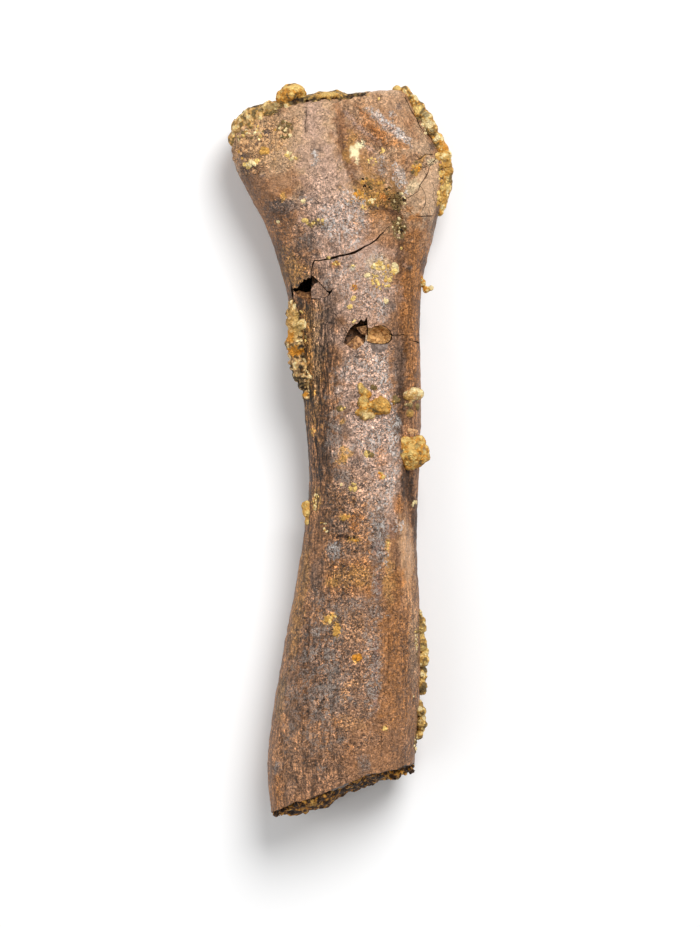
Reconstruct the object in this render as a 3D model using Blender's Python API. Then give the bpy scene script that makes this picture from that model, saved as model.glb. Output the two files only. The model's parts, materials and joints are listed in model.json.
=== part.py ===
"""A fossil limb bone, broken off at one end, with rock matrix still cemented to it.

It lies on its flatter face. X runs across it, Y along it towards the wide joint end, and Z up.
The origin is on the surface it rests on, under the middle of its bounding box.
Sizes in this file are millimetres, and become metres where a mesh is made.
"""

import math
from typing import NamedTuple

import bmesh
import bpy
from mathutils import Matrix, Vector, noise
from mathutils.bvhtree import BVHTree

MM = 0.001

# The space that separate pieces keep between them
GAP = 0.3

# The bone's plan, seen from above: (y, x) points down its left and right edges
LEFT_EDGE = [
    (-86, -16.2), (-78, -17.1), (-70, -17.4), (-60, -16.2), (-45, -13.6), (-30, -10.8),
    (-16, -8.7), (-4, -7.9), (10, -9.0), (26, -10.7), (40, -14.1), (52, -18.1),
    (62, -23.3), (69, -25.8), (75, -25.0), (79, -23.4), (86, -20.0),
]
RIGHT_EDGE = [
    (-80, 16.0), (-67, 17.0), (-50, 18.0), (-35, 17.7), (-24, 17.0), (-8, 17.4),
    (12, 18.1), (30, 17.9), (40, 18.7), (50, 21.2), (60, 23.2), (66, 23.6),
    (72, 20.6), (80, 16.8), (86, 13.0),
]

# Its profile along Y: (y, value) points of the crest, the widest line and the underside
CREST_X = [(-85, 1), (-60, 7), (-40, 9.5), (-15, 10), (10, 8), (35, 4.5), (50, 2), (65, 0), (86, 0)]
CREST_Z = [
    (-85, 24.5), (-65, 25.5), (-45, 24), (-20, 22), (5, 21.3), (25, 21.5), (45, 22.5),
    (60, 23), (74, 21), (86, 18),
]
SIDE_Z = [(-85, 12), (-20, 12.2), (30, 12), (86, 10)]
UNDER_Z = [
    (-86, 0.6), (-70, -0.5), (-55, 0.4), (-30, 2.6), (0, 3.8), (30, 3.0), (50, 1.0),
    (66, -0.5), (78, 0.4), (86, 2.5),
]
UPPER_SQUARENESS = [(-85, 2.3), (-20, 2.1), (30, 2.2), (60, 2.6), (86, 2.6)]
UNDER_SQUARENESS = 2.6

# Where the bone ends. A lean is how far an end face runs along Y for each millimetre of X,
# and a tilt how far it does for each millimetre of Z.
JOINT_END_Y, JOINT_END_LEAN, JOINT_END_TILT = 80.2, 0.157, 0.06
JOINT_END_BULGE = 1.0
BREAK_Y, BREAK_LEAN, BREAK_TILT = -79.2, 0.355, 0.17
LEAN_REACH = 26.0
RING_STEP = 3.2
POINTS_ABOVE, POINTS_BELOW = 28, 13
CAP_SHARES = (0.82, 0.55, 0.26)

# The broken end shows a wall round a pocket that rock fills, a little proud of the wall
WALL = 2.6
POCKET_DEPTH = 3.2
POCKET_FLOOR_SHARE = 0.5
FILL_RINGS = [(1.0, 0.4), (0.86, -0.5), (0.5, -0.9)]
FILL_ROUGHNESS = 0.7

MATERIALS = {
    "cortex": ((0.30, 0.17, 0.10), 0.48),
    "matrix_ochre": ((0.50, 0.30, 0.09), 0.85),
    "matrix_olive": ((0.22, 0.16, 0.08), 0.88),
    "matrix_pale": ((0.60, 0.44, 0.26), 0.85),
}


class Relief(NamedTuple):
    """A ridge or a hollow on the upper face, along a line from start to end in plan."""

    start: tuple
    end: tuple
    start_width: float
    end_width: float
    height: float


RELIEF = {
    "fossa": Relief((0.5, 80.0), (13.0, 53.0), 6.5, 3.0, -2.8),
    "fossa_floor": Relief((4.5, 69.0), (11.0, 61.0), 7.0, 5.0, -1.6),
    "upper_groove": Relief((13.8, 52.0), (13.4, 11.0), 2.2, 1.9, -1.3),
    "lower_groove": Relief((14.4, 8.0), (16.2, -27.0), 1.8, 1.8, -1.0),
    "left_ridge": Relief((-7.0, 79.0), (-1.0, 42.0), 6.0, 6.0, 1.0),
    "right_plateau": Relief((8.5, 80.0), (13.5, 72.0), 5.0, 4.0, 1.3),
    "flange_ridge": Relief((19.5, 66.0), (17.0, 38.0), 3.4, 2.6, 0.8),
}

# Breaks in the upper face, as outlines in plan
SIDE_HOLE = [
    (-11.5, 37.2), (-9.1, 39.6), (-7.5, 40.0), (-7.2, 38.6), (-7.8, 36.8), (-7.3, 34.9),
    (-7.9, 34.0), (-8.8, 35.9), (-10.4, 36.9),
]
SIDE_HOLE_FLOOR = 9.0
MARROW_CENTRE, MARROW_RADII = (-3.5, 37.0, 12.5), (6.5, 8.0, 5.0)
MIDDLE_PIT = [
    (0.0, 24.7), (0.9, 27.3), (2.9, 29.2), (4.2, 30.1), (5.7, 30.7), (5.8, 28.4),
    (9.1, 28.8), (11.0, 26.9), (9.8, 24.5), (6.6, 24.8), (3.3, 23.3), (1.3, 23.9),
]
MIDDLE_PIT_FLOOR = 18.4
CUTTER_TOP = 40.0

# A flake of the wall that has come loose beside the side hole
CHIP = [(-6.9, 39.8), (-7.4, 36.8), (-7.0, 35.4), (-5.4, 35.6), (-3.9, 35.9), (-5.4, 38.4)]
CHIP_FLOOR, CHIP_TOP = 18.6, 20.9
CHIP_TILT_DEG = 14.0
SEAT_SPREAD = 1.5 * GAP


class Lump(NamedTuple):
    """Cemented rock, as balls (x, y, z, radius) grown together. A z of None lies on the bone."""

    balls: list
    material: str


LUMPS = {
    "matrix_corner_crust": Lump(
        [
            (-23.9, 68.8, 12, 1.6), (-24.2, 71.6, 13, 1.9), (-23.6, 74.4, 14, 2.3),
            (-21.4, 76.0, 16, 2.3), (-19.0, 77.0, 17, 2.0), (-16.8, 78.0, 17.5, 1.8),
        ],
        "matrix_ochre",
    ),
    "matrix_end_nodule": Lump(
        [(-13.6, 81.4, 18, 2.2), (-11.9, 82.5, 18, 1.9), (-10.4, 82.9, 18, 2.1)], "matrix_ochre"
    ),
    "matrix_rim_crust": Lump(
        [
            (12.2, 83.4, 12, 1.3), (14.2, 82.6, 12.5, 1.4), (16.2, 81.0, 13, 1.6), (17.6, 78.9, 13, 1.6),
            (19.0, 76.6, 12.5, 1.8), (20.4, 74.1, 12.5, 1.7), (21.8, 71.6, 12, 1.8), (23.0, 69.3, 12, 1.7),
            (24.0, 67.0, 12, 1.8), (24.3, 64.5, 12, 1.7), (24.3, 62.0, 12, 1.6), (24.0, 59.7, 12, 1.6),
            (23.4, 57.4, 12, 1.4), (22.6, 55.2, 12, 1.2),
        ],
        "matrix_ochre",
    ),
    "matrix_shaft_crust": Lump(
        [
            (-11.2, 33.4, 15, 1.4), (-11.1, 31.0, 15, 1.8), (-11.0, 28.3, 15, 2.1), (-10.8, 25.4, 15, 2.2),
            (-10.6, 22.4, 15, 2.1), (-10.1, 19.6, 15, 2.0), (-9.5, 17.0, 15.2, 1.8), (-8.9, 14.6, 15.4, 1.5),
            (-8.4, 12.6, 15.6, 1.2),
        ],
        "matrix_olive",
    ),
    "matrix_twin_nodule": Lump(
        [
            (4.0, 14.2, None, 1.2), (5.6, 14.0, None, 1.3), (5.4, 10.8, None, 2.4), (4.6, 8.6, None, 1.7),
            (7.4, 10.4, None, 1.9), (9.2, 10.8, None, 2.6),
        ],
        "matrix_ochre",
    ),
    "matrix_pale_nodule": Lump(
        [
            (17.4, 12.8, 16.4, 2.0), (15.2, 12.4, None, 2.0), (15.6, 10.6, None, 1.6),
            (15.8, 8.8, None, 1.5), (17.2, 10.2, 16.0, 1.4),
        ],
        "matrix_pale",
    ),
    "matrix_round_nodule": Lump([(15.6, -0.6, 18.2, 3.8), (16.7, -0.4, 17.6, 3.6)], "matrix_ochre"),
    "matrix_side_crumb": Lump(
        [(18.5, 39.2, 13, 1.5), (19.3, 38.0, 13.4, 1.2), (19.9, 37.0, 13.6, 0.9)], "matrix_ochre"
    ),
    "matrix_left_crumb": Lump(
        [(-8.4, -13.4, 14, 1.6), (-8.2, -15.0, 14, 1.5), (-8.0, -16.6, 14, 1.4)], "matrix_ochre"
    ),
    "matrix_edge_crust": Lump(
        [
            (17.7, -38.4, 13, 1.1), (18.0, -40.6, 13, 1.2), (18.3, -43.0, 13, 1.3), (18.5, -45.4, 13, 1.4),
            (18.6, -47.8, 13, 1.5), (18.4, -50.2, 13, 1.4), (18.5, -52.8, 13, 1.4), (18.7, -55.4, 13, 1.4),
        ],
        "matrix_olive",
    ),
    "matrix_edge_crumb": Lump(
        [(17.8, -59.0, 13, 1.0), (18.0, -61.0, 13, 1.2), (17.9, -63.2, 13, 1.2), (17.4, -65.2, 13, 1.0)],
        "matrix_olive",
    ),
}
LUMP_DETAIL = 1.2

# The thin crust over the joint end, from its middle out to the rim
END_CRUST_SHARES = (0.0, 0.3, 0.6, 0.84, 0.95)
END_CRUST_THICKNESS = 1.3
END_CRUST_ROUGHNESS = 0.35
CRUST_GRAIN = 0.85


def along(points, y):
    """The value at y of the smooth curve through (y, value) points."""
    last = len(points) - 1
    if y <= points[0][0]:
        return points[0][1]
    if y >= points[last][0]:
        return points[last][1]
    i = max(k for k in range(last) if points[k][0] <= y)

    def slope(k):
        before, after = points[max(k - 1, 0)], points[min(k + 1, last)]
        return (after[1] - before[1]) / (after[0] - before[0])

    (y0, v0), (y1, v1) = points[i], points[i + 1]
    span = y1 - y0
    t = (y - y0) / span
    return (
        v0 * (2 * t**3 - 3 * t**2 + 1)
        + v1 * (3 * t**2 - 2 * t**3)
        + slope(i) * span * (t**3 - 2 * t**2 + t)
        + slope(i + 1) * span * (t**3 - t**2)
    )


def relief_at(x, y):
    """How far the ridges and hollows raise the upper face at a place in plan."""
    height = 0.0
    for r in RELIEF.values():
        start, end = Vector(r.start), Vector(r.end)
        line = end - start
        share = max(0.0, min(1.0, (Vector((x, y)) - start).dot(line) / line.length_squared))
        width = r.start_width + share * (r.end_width - r.start_width)
        away = (Vector((x, y)) - start - share * line).length / width
        if away < 1:
            height += r.height * math.cos(away * math.pi / 2) ** 2
    return height


def section_point(y, angle):
    """The (x, z) of the bone's surface at y. Angle 0 is the right edge and a quarter turn the crest."""
    left, right = along(LEFT_EDGE, y), along(RIGHT_EDGE, y)
    upper = math.sin(angle) >= 0
    middle = along(CREST_X, y) if upper else (left + right) / 2
    squareness = along(UPPER_SQUARENESS, y) if upper else UNDER_SQUARENESS
    side_z = along(SIDE_Z, y)
    reach = (right if math.cos(angle) >= 0 else left) - middle
    rise = (along(CREST_Z, y) if upper else along(UNDER_Z, y)) - side_z
    x = middle + reach * abs(math.cos(angle)) ** (2 / squareness)
    z = side_z + rise * abs(math.sin(angle)) ** (2 / squareness)
    if upper:
        z += relief_at(x, y) * math.sin(angle)
    return x, z


def lean_and_tilt(y):
    """How far the ring at y leans with X and tilts with Z. Both grow towards the two ends."""
    to_joint = max(0.0, 1 - (JOINT_END_Y - y) / LEAN_REACH)
    to_break = max(0.0, 1 - (y - BREAK_Y) / LEAN_REACH)
    return (
        JOINT_END_LEAN * to_joint + BREAK_LEAN * to_break,
        JOINT_END_TILT * to_joint + BREAK_TILT * to_break,
    )


def ring(y):
    """The closed ring of surface points whose middle is at y."""
    lean, tilt = lean_and_tilt(y)
    angles = [math.pi * k / POINTS_ABOVE for k in range(POINTS_ABOVE)]
    angles += [math.pi * (1 + k / POINTS_BELOW) for k in range(POINTS_BELOW)]
    points = []
    for angle in angles:
        x, z = section_point(y, angle)
        own_y = y + lean * x + tilt * (z - along(SIDE_Z, y))
        x, z = section_point(own_y, angle)
        points.append(Vector((x, own_y, z)))
    return points


def middle_of(points):
    return sum(points, Vector()) / len(points)


def shrunk(points, share, shift=0.0):
    """The ring drawn in towards its middle, and moved along Y."""
    middle = middle_of(points)
    return [middle + (p - middle) * share + Vector((0, shift, 0)) for p in points]


def bulge(share):
    """How far the joint end stands out at a share of the way from its middle to its rim."""
    return JOINT_END_BULGE * math.sqrt(max(0.0, 1 - share**2))


def skin(rings):
    """A bmesh through a list of equal rings, closed at each end by a fan to its middle."""
    mesh = bmesh.new()
    rows = [[mesh.verts.new(p * MM) for p in points] for points in rings]
    for row, following in zip(rows, rows[1:]):
        for k in range(len(row)):
            after = (k + 1) % len(row)
            mesh.faces.new((row[k], row[after], following[after], following[k]))
    for row, points in ((rows[0], rings[0]), (rows[-1], rings[-1])):
        pole = mesh.verts.new(middle_of(points) * MM)
        for k in range(len(row)):
            mesh.faces.new((row[(k + 1) % len(row)], row[k], pole))
    bmesh.ops.recalc_face_normals(mesh, faces=mesh.faces)
    return mesh


def material(name):
    """The named finish as a Principled material, made once."""
    if name in bpy.data.materials:
        return bpy.data.materials[name]
    colour, roughness = MATERIALS[name]
    made = bpy.data.materials.new(name)
    made.use_nodes = True
    shader = made.node_tree.nodes["Principled BSDF"]
    shader.inputs["Base Color"].default_value = (*colour, 1)
    shader.inputs["Roughness"].default_value = roughness
    shader.inputs["Metallic"].default_value = 0
    return made


def part(name, mesh, finish):
    """A named object from a bmesh, which it uses up."""
    data = bpy.data.meshes.new(name)
    bmesh.ops.triangulate(mesh, faces=mesh.faces)
    mesh.to_mesh(data)
    mesh.free()
    data.shade_smooth()
    data.materials.append(material(finish))
    made = bpy.data.objects.new(name, data)
    bpy.context.scene.collection.objects.link(made)
    return made


def helper(name, mesh):
    """An object that only cuts others."""
    made = part(name, mesh, "cortex")
    made.hide_render = True
    made.display_type = "WIRE"
    return made


def cut(target, cutter):
    step = target.modifiers.new("cut_" + cutter.name, "BOOLEAN")
    step.operation = "DIFFERENCE"
    step.solver = "EXACT"
    step.object = cutter


def pocket_share(rim, wall):
    """How far the break's rim is drawn in to leave a wall round the pocket."""
    half_width = (max(p.x for p in rim) - min(p.x for p in rim)) / 2
    return 1 - wall / half_width


def bone_rings():
    """The bone's rings from the middle of the break to the middle of the joint end."""
    count = round((JOINT_END_Y - BREAK_Y) / RING_STEP)
    wall_rings = [ring(BREAK_Y + (JOINT_END_Y - BREAK_Y) * k / count) for k in range(count + 1)]
    rim = wall_rings[0]
    mouth = shrunk(rim, pocket_share(rim, WALL))
    floor = shrunk(mouth, 1, POCKET_DEPTH)
    dome = [shrunk(wall_rings[-1], share, bulge(share)) for share in CAP_SHARES]
    return [shrunk(floor, POCKET_FLOOR_SHARE), floor, mouth, *wall_rings, *dome]


def flattened_below(mesh):
    """Cuts the bone off at Z 0, which leaves a flat face under each end for it to rest on."""
    everything = mesh.verts[:] + mesh.edges[:] + mesh.faces[:]
    made = bmesh.ops.bisect_plane(
        mesh, geom=everything, plane_co=(0, 0, 0), plane_no=(0, 0, -1), clear_outer=True
    )
    edges = [e for e in made["geom_cut"] if isinstance(e, bmesh.types.BMEdge)]
    bmesh.ops.holes_fill(mesh, edges=edges, sides=0)
    bmesh.ops.recalc_face_normals(mesh, faces=mesh.faces)


def prism(outline, low, high):
    """An upright bmesh prism on an outline in plan."""
    mesh = bmesh.new()
    base = mesh.faces.new([mesh.verts.new(Vector((x, y, low)) * MM) for x, y in outline])
    pulled = bmesh.ops.extrude_face_region(mesh, geom=[base])
    lifted = [v for v in pulled["geom"] if isinstance(v, bmesh.types.BMVert)]
    bmesh.ops.translate(mesh, verts=lifted, vec=(0, 0, (high - low) * MM))
    bmesh.ops.recalc_face_normals(mesh, faces=mesh.faces)
    return mesh


def grown_outline(outline, by):
    """The outline with each corner moved out from its middle by a distance."""
    middle = sum((Vector(p) for p in outline), Vector((0, 0))) / len(outline)
    return [Vector(p) + (Vector(p) - middle).normalized() * by for p in outline]


def make_bone():
    mesh = skin(bone_rings())
    flattened_below(mesh)
    bone = part("bone", mesh, "cortex")
    for name, outline, floor in (
        ("side_hole_cutter", SIDE_HOLE, SIDE_HOLE_FLOOR),
        ("middle_pit_cutter", MIDDLE_PIT, MIDDLE_PIT_FLOOR),
        ("chip_seat_cutter", grown_outline(CHIP, SEAT_SPREAD), CHIP_FLOOR - GAP),
    ):
        cut(bone, helper(name, prism(outline, floor, CUTTER_TOP)))
    marrow = bmesh.new()
    place = Matrix.Translation(Vector(MARROW_CENTRE) * MM)
    place @= Matrix.Diagonal(Vector(MARROW_RADII) * MM).to_4x4()
    bmesh.ops.create_icosphere(marrow, subdivisions=2, radius=1, matrix=place)
    cut(bone, helper("marrow_cutter", marrow))
    return bone


def clearance_of(bone):
    """The bone without its breaks, grown by the gap that cemented rock keeps from it."""
    mesh = bmesh.new()
    mesh.from_mesh(bone.data)
    mesh.normal_update()
    for v in mesh.verts:
        v.co += v.normal * GAP * MM
    return helper("bone_clearance", mesh)


def make_chip():
    """The loose flake, tilted in its seat."""
    mesh = prism(CHIP, CHIP_FLOOR, CHIP_TOP)
    middle = middle_of([v.co for v in mesh.verts])
    top = [v for v in mesh.verts if v.co.z > middle.z]
    slope = math.tan(math.radians(CHIP_TILT_DEG))
    for v in top:
        v.co.z += (v.co.x - middle.x) * slope
    return part("cortex_chip", mesh, "cortex")


def on_bone(surface, x, y):
    """The height of the bone's upper face at a place in plan, in millimetres."""
    hit = surface.ray_cast(Vector((x, y, 60)) * MM, Vector((0, 0, -1)))[0]
    return hit.z / MM


def make_lump(name, lump, surface, clearances):
    """One piece of cemented rock, cut back to a gap from the bone it sits on."""
    mesh = bmesh.new()
    for x, y, z, radius in lump.balls:
        centre = Vector((x, y, on_bone(surface, x, y) if z is None else z))
        place = Matrix.Translation(centre * MM) @ Matrix.Scale(radius * MM, 4)
        bmesh.ops.create_icosphere(mesh, subdivisions=2, radius=1, matrix=place)
    made = part(name, mesh, lump.material)
    grown_together = made.modifiers.new("grown_together", "REMESH")
    grown_together.mode = "VOXEL"
    grown_together.voxel_size = LUMP_DETAIL * MM
    grown_together.use_smooth_shade = True
    made.modifiers.new("triangles", "TRIANGULATE")
    for clearance in clearances:
        cut(made, clearance)


def end_crust_rings(inner, outer, spread=1.0):
    """Rings from the middle of the joint end's crust out over its face and back along its underside."""
    rim = ring(JOINT_END_Y)
    outside, inside = [], []
    for share in END_CRUST_SHARES[1:]:
        points = shrunk(rim, share * spread, bulge(share) + inner)
        inside.append(points)
        thickness = (outer - inner) * (1 - 0.5 * share**4)
        outside.append(
            [
                p + Vector((0, thickness * (1 + END_CRUST_ROUGHNESS * noise.noise(p / CRUST_GRAIN)), 0))
                for p in points
            ]
        )
    return outside + inside[::-1]


def make_end_crust():
    return part("matrix_end_crust", skin(end_crust_rings(GAP, GAP + END_CRUST_THICKNESS)), "matrix_olive")


def end_crust_clearance():
    return helper("end_crust_clearance", skin(end_crust_rings(-1.0, 2 * GAP + 1.5 * END_CRUST_THICKNESS, 1.04)))


def make_break_fill():
    """The rock that fills the pocket in the broken end."""
    rim = ring(BREAK_Y)
    mouth = shrunk(rim, pocket_share(rim, WALL + 1.6 * GAP))
    inner = shrunk(mouth, 1, POCKET_DEPTH - GAP)
    rings = [shrunk(inner, POCKET_FLOOR_SHARE), inner]
    for share, depth in FILL_RINGS:
        points = shrunk(mouth, share, depth)
        rough = [FILL_ROUGHNESS * noise.noise(p / CRUST_GRAIN / 2) for p in points]
        rings.append([p + Vector((0, r, 0)) for p, r in zip(points, rough)])
    return part("matrix_break_fill", skin(rings), "matrix_olive")


def main():
    for old in list(bpy.data.objects):
        bpy.data.objects.remove(old, do_unlink=True)
    bone = make_bone()
    bpy.context.view_layer.update()
    bone_clearance = clearance_of(bone)
    make_chip()
    make_end_crust()
    surface = BVHTree.FromObject(bone, bpy.context.evaluated_depsgraph_get())
    clearances = (bone_clearance, end_crust_clearance())
    for name, lump in LUMPS.items():
        make_lump(name, lump, surface, clearances)
    make_break_fill()


main()
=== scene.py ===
"""A fossil limb bone lying on a pale floor, with the rock that is still cemented to it.

Places and sizes are in millimetres, in the frame's own axes: X across the bone, Y along it towards the
joint end, and Z up. The properties in the sidebar are in Blender's own unit, the metre.
"""

import itertools
import json
import math
from typing import NamedTuple

import bmesh
import bpy
import numpy as np
from mathutils import Matrix, Vector
from mathutils.bvhtree import BVHTree

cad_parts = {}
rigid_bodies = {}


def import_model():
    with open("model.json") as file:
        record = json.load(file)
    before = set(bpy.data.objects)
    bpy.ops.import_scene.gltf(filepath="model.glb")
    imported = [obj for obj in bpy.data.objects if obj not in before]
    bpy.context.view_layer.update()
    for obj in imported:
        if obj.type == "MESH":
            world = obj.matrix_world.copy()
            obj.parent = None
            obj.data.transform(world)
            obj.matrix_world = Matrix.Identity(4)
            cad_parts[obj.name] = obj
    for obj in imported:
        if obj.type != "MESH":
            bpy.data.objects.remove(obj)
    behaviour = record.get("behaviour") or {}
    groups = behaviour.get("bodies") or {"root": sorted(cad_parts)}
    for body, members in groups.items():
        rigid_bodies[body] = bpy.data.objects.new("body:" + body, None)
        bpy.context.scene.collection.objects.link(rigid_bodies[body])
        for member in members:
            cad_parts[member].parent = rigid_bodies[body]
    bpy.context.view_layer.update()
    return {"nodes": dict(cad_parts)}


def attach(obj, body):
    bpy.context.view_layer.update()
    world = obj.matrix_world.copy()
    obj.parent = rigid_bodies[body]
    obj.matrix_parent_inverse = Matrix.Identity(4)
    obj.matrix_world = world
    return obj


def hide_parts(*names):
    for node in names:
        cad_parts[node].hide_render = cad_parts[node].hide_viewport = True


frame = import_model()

bl_info = {
    "name": "Fossil limb bone",
    "version": (1, 0, 0),
    "blender": (4, 5, 0),
    "location": "3D View > Sidebar > Fossil",
    "description": "Models a broken fossil limb bone with cemented sandstone on it",
    "category": "Add Mesh",
}

MM = 0.001
BODY = "root"


# Settings


def length_property(name, description, size_mm):
    """A length in the sidebar, from a size in millimetres."""
    return bpy.props.FloatProperty(
        name=name, description=description, default=size_mm * MM, min=0, precision=5, unit="LENGTH"
    )


def colour_property(name, description, colour):
    return bpy.props.FloatVectorProperty(
        name=name, description=description, default=colour, size=3, min=0, max=1, subtype="COLOR"
    )


class BoneSettings(bpy.types.PropertyGroup):
    """What a user would change on the bone."""

    detail: length_property("Detail", "Size of the faces of the bone's surface", 0.46)
    roundness: bpy.props.IntProperty(
        name="Roundness", description="How often the copied facets are smoothed", default=36, min=1
    )
    grain_height: length_property("Grain height", "Height of the fine grain of the surface", 0.09)
    fibre_height: length_property("Fibre height", "Height of the fibres along the shaft", 0.10)
    tan: colour_property("Tan", "The paler bone of the joint end", (0.63, 0.400, 0.235))
    pink: colour_property("Pink", "The polished bone along the crest", (0.56, 0.355, 0.258))
    rose: colour_property("Rose", "The smooth bone of the lower shaft", (0.335, 0.164, 0.082))
    brown: colour_property("Brown", "The usual colour of the shaft", (0.40, 0.186, 0.080))
    amber: colour_property("Amber", "The warm bone along the right side", (0.42, 0.170, 0.047))
    moss: colour_property("Moss", "The stained hollow of the joint end", (0.50, 0.245, 0.060))
    umber: colour_property("Umber", "The dark streaks", (0.100, 0.043, 0.017))
    grey: colour_property("Grey", "Curling lines in the lower shaft", (0.63, 0.53, 0.455))
    copper: colour_property("Copper", "Reddish specks in the bone", (0.58, 0.285, 0.120))
    slate: colour_property("Slate", "The grey mineral stains", (0.168, 0.108, 0.078))
    violet: colour_property("Violet", "The bluish mineral stains", (0.200, 0.130, 0.140))
    olive: colour_property("Olive", "The dark stains of the rock", (0.28, 0.185, 0.070))
    ochre: colour_property("Ochre", "The yellow stains of the rock", (0.76, 0.39, 0.085))
    rust: colour_property("Rust", "The orange stains", (0.66, 0.24, 0.045))
    cream: colour_property("Cream", "The pale mineral patches", (0.93, 0.80, 0.47))
    # Painted highlight: the near white laid into the bone's colour where its glossy crest and joint end catch the
    # light
    painted_highlight: colour_property("White", "The mineral glints", (0.93, 0.86, 0.80))


class RockSettings(bpy.types.PropertyGroup):
    """What a user would change on the cemented rock."""

    detail: length_property("Detail", "Size of the faces of the lumps", 0.22)
    grain: length_property("Grain", "Size of the sand grains", 0.75)
    yellow: colour_property("Yellow", "The brighter yellow sandstone", (0.80, 0.55, 0.18))
    ochre: colour_property("Ochre", "The usual sandstone", (0.60, 0.325, 0.075))
    orange: colour_property("Orange", "The rust in the sandstone", (0.66, 0.27, 0.028))
    olive: colour_property("Olive", "The dark sandstone", (0.20, 0.135, 0.050))
    pale: colour_property("Pale", "The pale sandstone", (0.86, 0.69, 0.36))
    tan: colour_property("Tan", "The sandstone stained like the bone", (0.66, 0.39, 0.19))
    slate: colour_property("Slate", "The grey grains", (0.11, 0.10, 0.10))
    brown: colour_property("Brown", "The dark sandstone in the broken end", (0.10, 0.040, 0.011))
    umber: colour_property("Umber", "The darkest sandstone, in the broken end", (0.026, 0.013, 0.006))


class StageSettings(bpy.types.PropertyGroup):
    """The floor, the lights and the camera."""

    floor: colour_property("Floor", "Colour of the floor", (0.93, 0.93, 0.93))
    camera_height: length_property("Camera height", "How far above the floor the camera is", 1000)
    frame_height: length_property("Frame height", "Height of what the camera sees", 214.1)
    key: bpy.props.FloatProperty(name="Key", description="Power of the main light", default=8.6, min=0)
    fill: bpy.props.FloatProperty(name="Fill", description="Power of the light opposite", default=2.2, min=0)
    sky: bpy.props.FloatProperty(name="Sky", description="Strength of the light all round", default=0.38, min=0)


# Modelling helpers


def only(piece):
    """Selects one object and makes it the active one."""
    bpy.ops.object.select_all(action="DESELECT")
    piece.select_set(True)
    bpy.context.view_layer.objects.active = piece


def finish_with(piece, kind, **settings):
    """Adds a modifier with these settings and applies it."""
    only(piece)
    step = piece.modifiers.new(kind.title(), kind)
    for name, value in settings.items():
        setattr(step, name, value)
    bpy.ops.object.modifier_apply(modifier=step.name)


def new_object(name, mesh):
    """An object at the origin from a bmesh in metres, which it uses up."""
    data = bpy.data.meshes.new(name)
    mesh.to_mesh(data)
    mesh.free()
    made = bpy.data.objects.new(name, data)
    bpy.context.scene.collection.objects.link(made)
    return made


def select_faces(piece, wanted):
    """In edit mode, selects the faces for which wanted(middle, normal) is true."""
    bpy.ops.mesh.select_all(action="DESELECT")
    bpy.ops.mesh.select_mode(type="FACE")
    mesh = bmesh.from_edit_mesh(piece.data)
    for face in mesh.faces:
        if wanted(face.calc_center_median() / MM, face.normal):
            face.select_set(True)
    bmesh.update_edit_mesh(piece.data)


def places(piece):
    """The piece's points, in millimetres."""
    points = np.empty(len(piece.data.vertices) * 3)
    piece.data.vertices.foreach_get("co", points)
    return points.reshape(-1, 3) / MM


def normals(piece):
    out = np.empty(len(piece.data.vertices) * 3)
    piece.data.vertex_normals.foreach_get("vector", out)
    return out.reshape(-1, 3)


def move_points(piece, points):
    """Sets the piece's points, in millimetres, none of them below the ground it lies on."""
    points[:, 2] = np.maximum(points[:, 2], 0)
    piece.data.vertices.foreach_set("co", (points * MM).ravel())
    piece.data.update()


def hold(piece, name, values):
    """Keeps a number or a colour for each of the piece's points, which its finish reads."""
    kind = "FLOAT" if values.ndim == 1 else "FLOAT_COLOR"
    attribute = piece.data.attributes.new(name, kind, "POINT")
    if kind == "FLOAT":
        attribute.data.foreach_set("value", values.astype(np.float32))
    else:
        solid = np.column_stack([values, np.ones(len(values))])
        attribute.data.foreach_set("color", solid.astype(np.float32).ravel())


def smooth_step(values):
    """0 below 0, 1 above 1, and a smooth rise between."""
    inside = np.clip(values, 0, 1)
    return inside**2 * (3 - 2 * inside)


# What spreads the numbers of the noise's cells, how far apart two seeds take their cells, and a turn by which
# the cells don't lie along the bone
CELL_FACTORS, CELL_MIX = np.array([73856093, 19349663, 83492791]), 1274126177
SEED_STEP = 31.7
LATTICE_TURN = np.array(Matrix.Rotation(0.7, 3, Vector((0.5, 0.3, 0.8))))


def lattice(cells):
    """A fixed number from -1 to 1 for each whole-numbered cell of space."""
    mixed = cells @ CELL_FACTORS
    mixed = (mixed ^ (mixed >> 13)) * CELL_MIX
    return ((mixed >> 9) & 0xFFFF) / 32767.5 - 1


def noise(points, size, seed):
    """Smooth noise from -1 to 1 at each point. Size is how far apart its bumps are, or that along each axis."""
    even = np.ndim(size) == 0
    where = (points @ LATTICE_TURN if even else points) / np.asarray(size, float) + SEED_STEP * seed
    cell = np.floor(where).astype(np.int64)
    inside = smooth_step(where - cell)
    total = np.zeros(len(points))
    for corner in itertools.product((0, 1), repeat=3):
        share = np.prod(np.where(corner, inside, 1 - inside), axis=1)
        total += share * lattice(cell + np.array(corner))
    return total


def grains(points, size, seed):
    """How far each point is from the middle of the nearest grain, in grain sizes."""
    where = points / size + SEED_STEP * seed
    cell = np.floor(where).astype(np.int64)
    nearest = np.full(len(points), 9.0)
    for step in itertools.product((-1, 0, 1), repeat=3):
        near = cell + np.array(step)
        middle = near + 0.5 + 0.45 * np.column_stack([lattice(near + 977 * axis) for axis in (1, 2, 3)])
        nearest = np.minimum(nearest, np.linalg.norm(where - middle, axis=1))
    return nearest


# Marks on the surface


class Stroke(NamedTuple):
    """A ridge, hollow or streak along a line in plan, with a soft edge."""

    start: tuple
    end: tuple
    width: float
    amount: float


class Patch(NamedTuple):
    """A mark in plan: what it is, its middle, its half-sizes, how strong it is and its turn in degrees."""

    kind: str
    x: float
    y: float
    across: float
    along: float
    strength: float
    turn: float = 0


def patches(*groups):
    """Patches from groups, each of one kind and then a row with the other values for each patch."""
    return [Patch(kind, *row) for kind, *rows in groups for row in rows]


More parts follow.
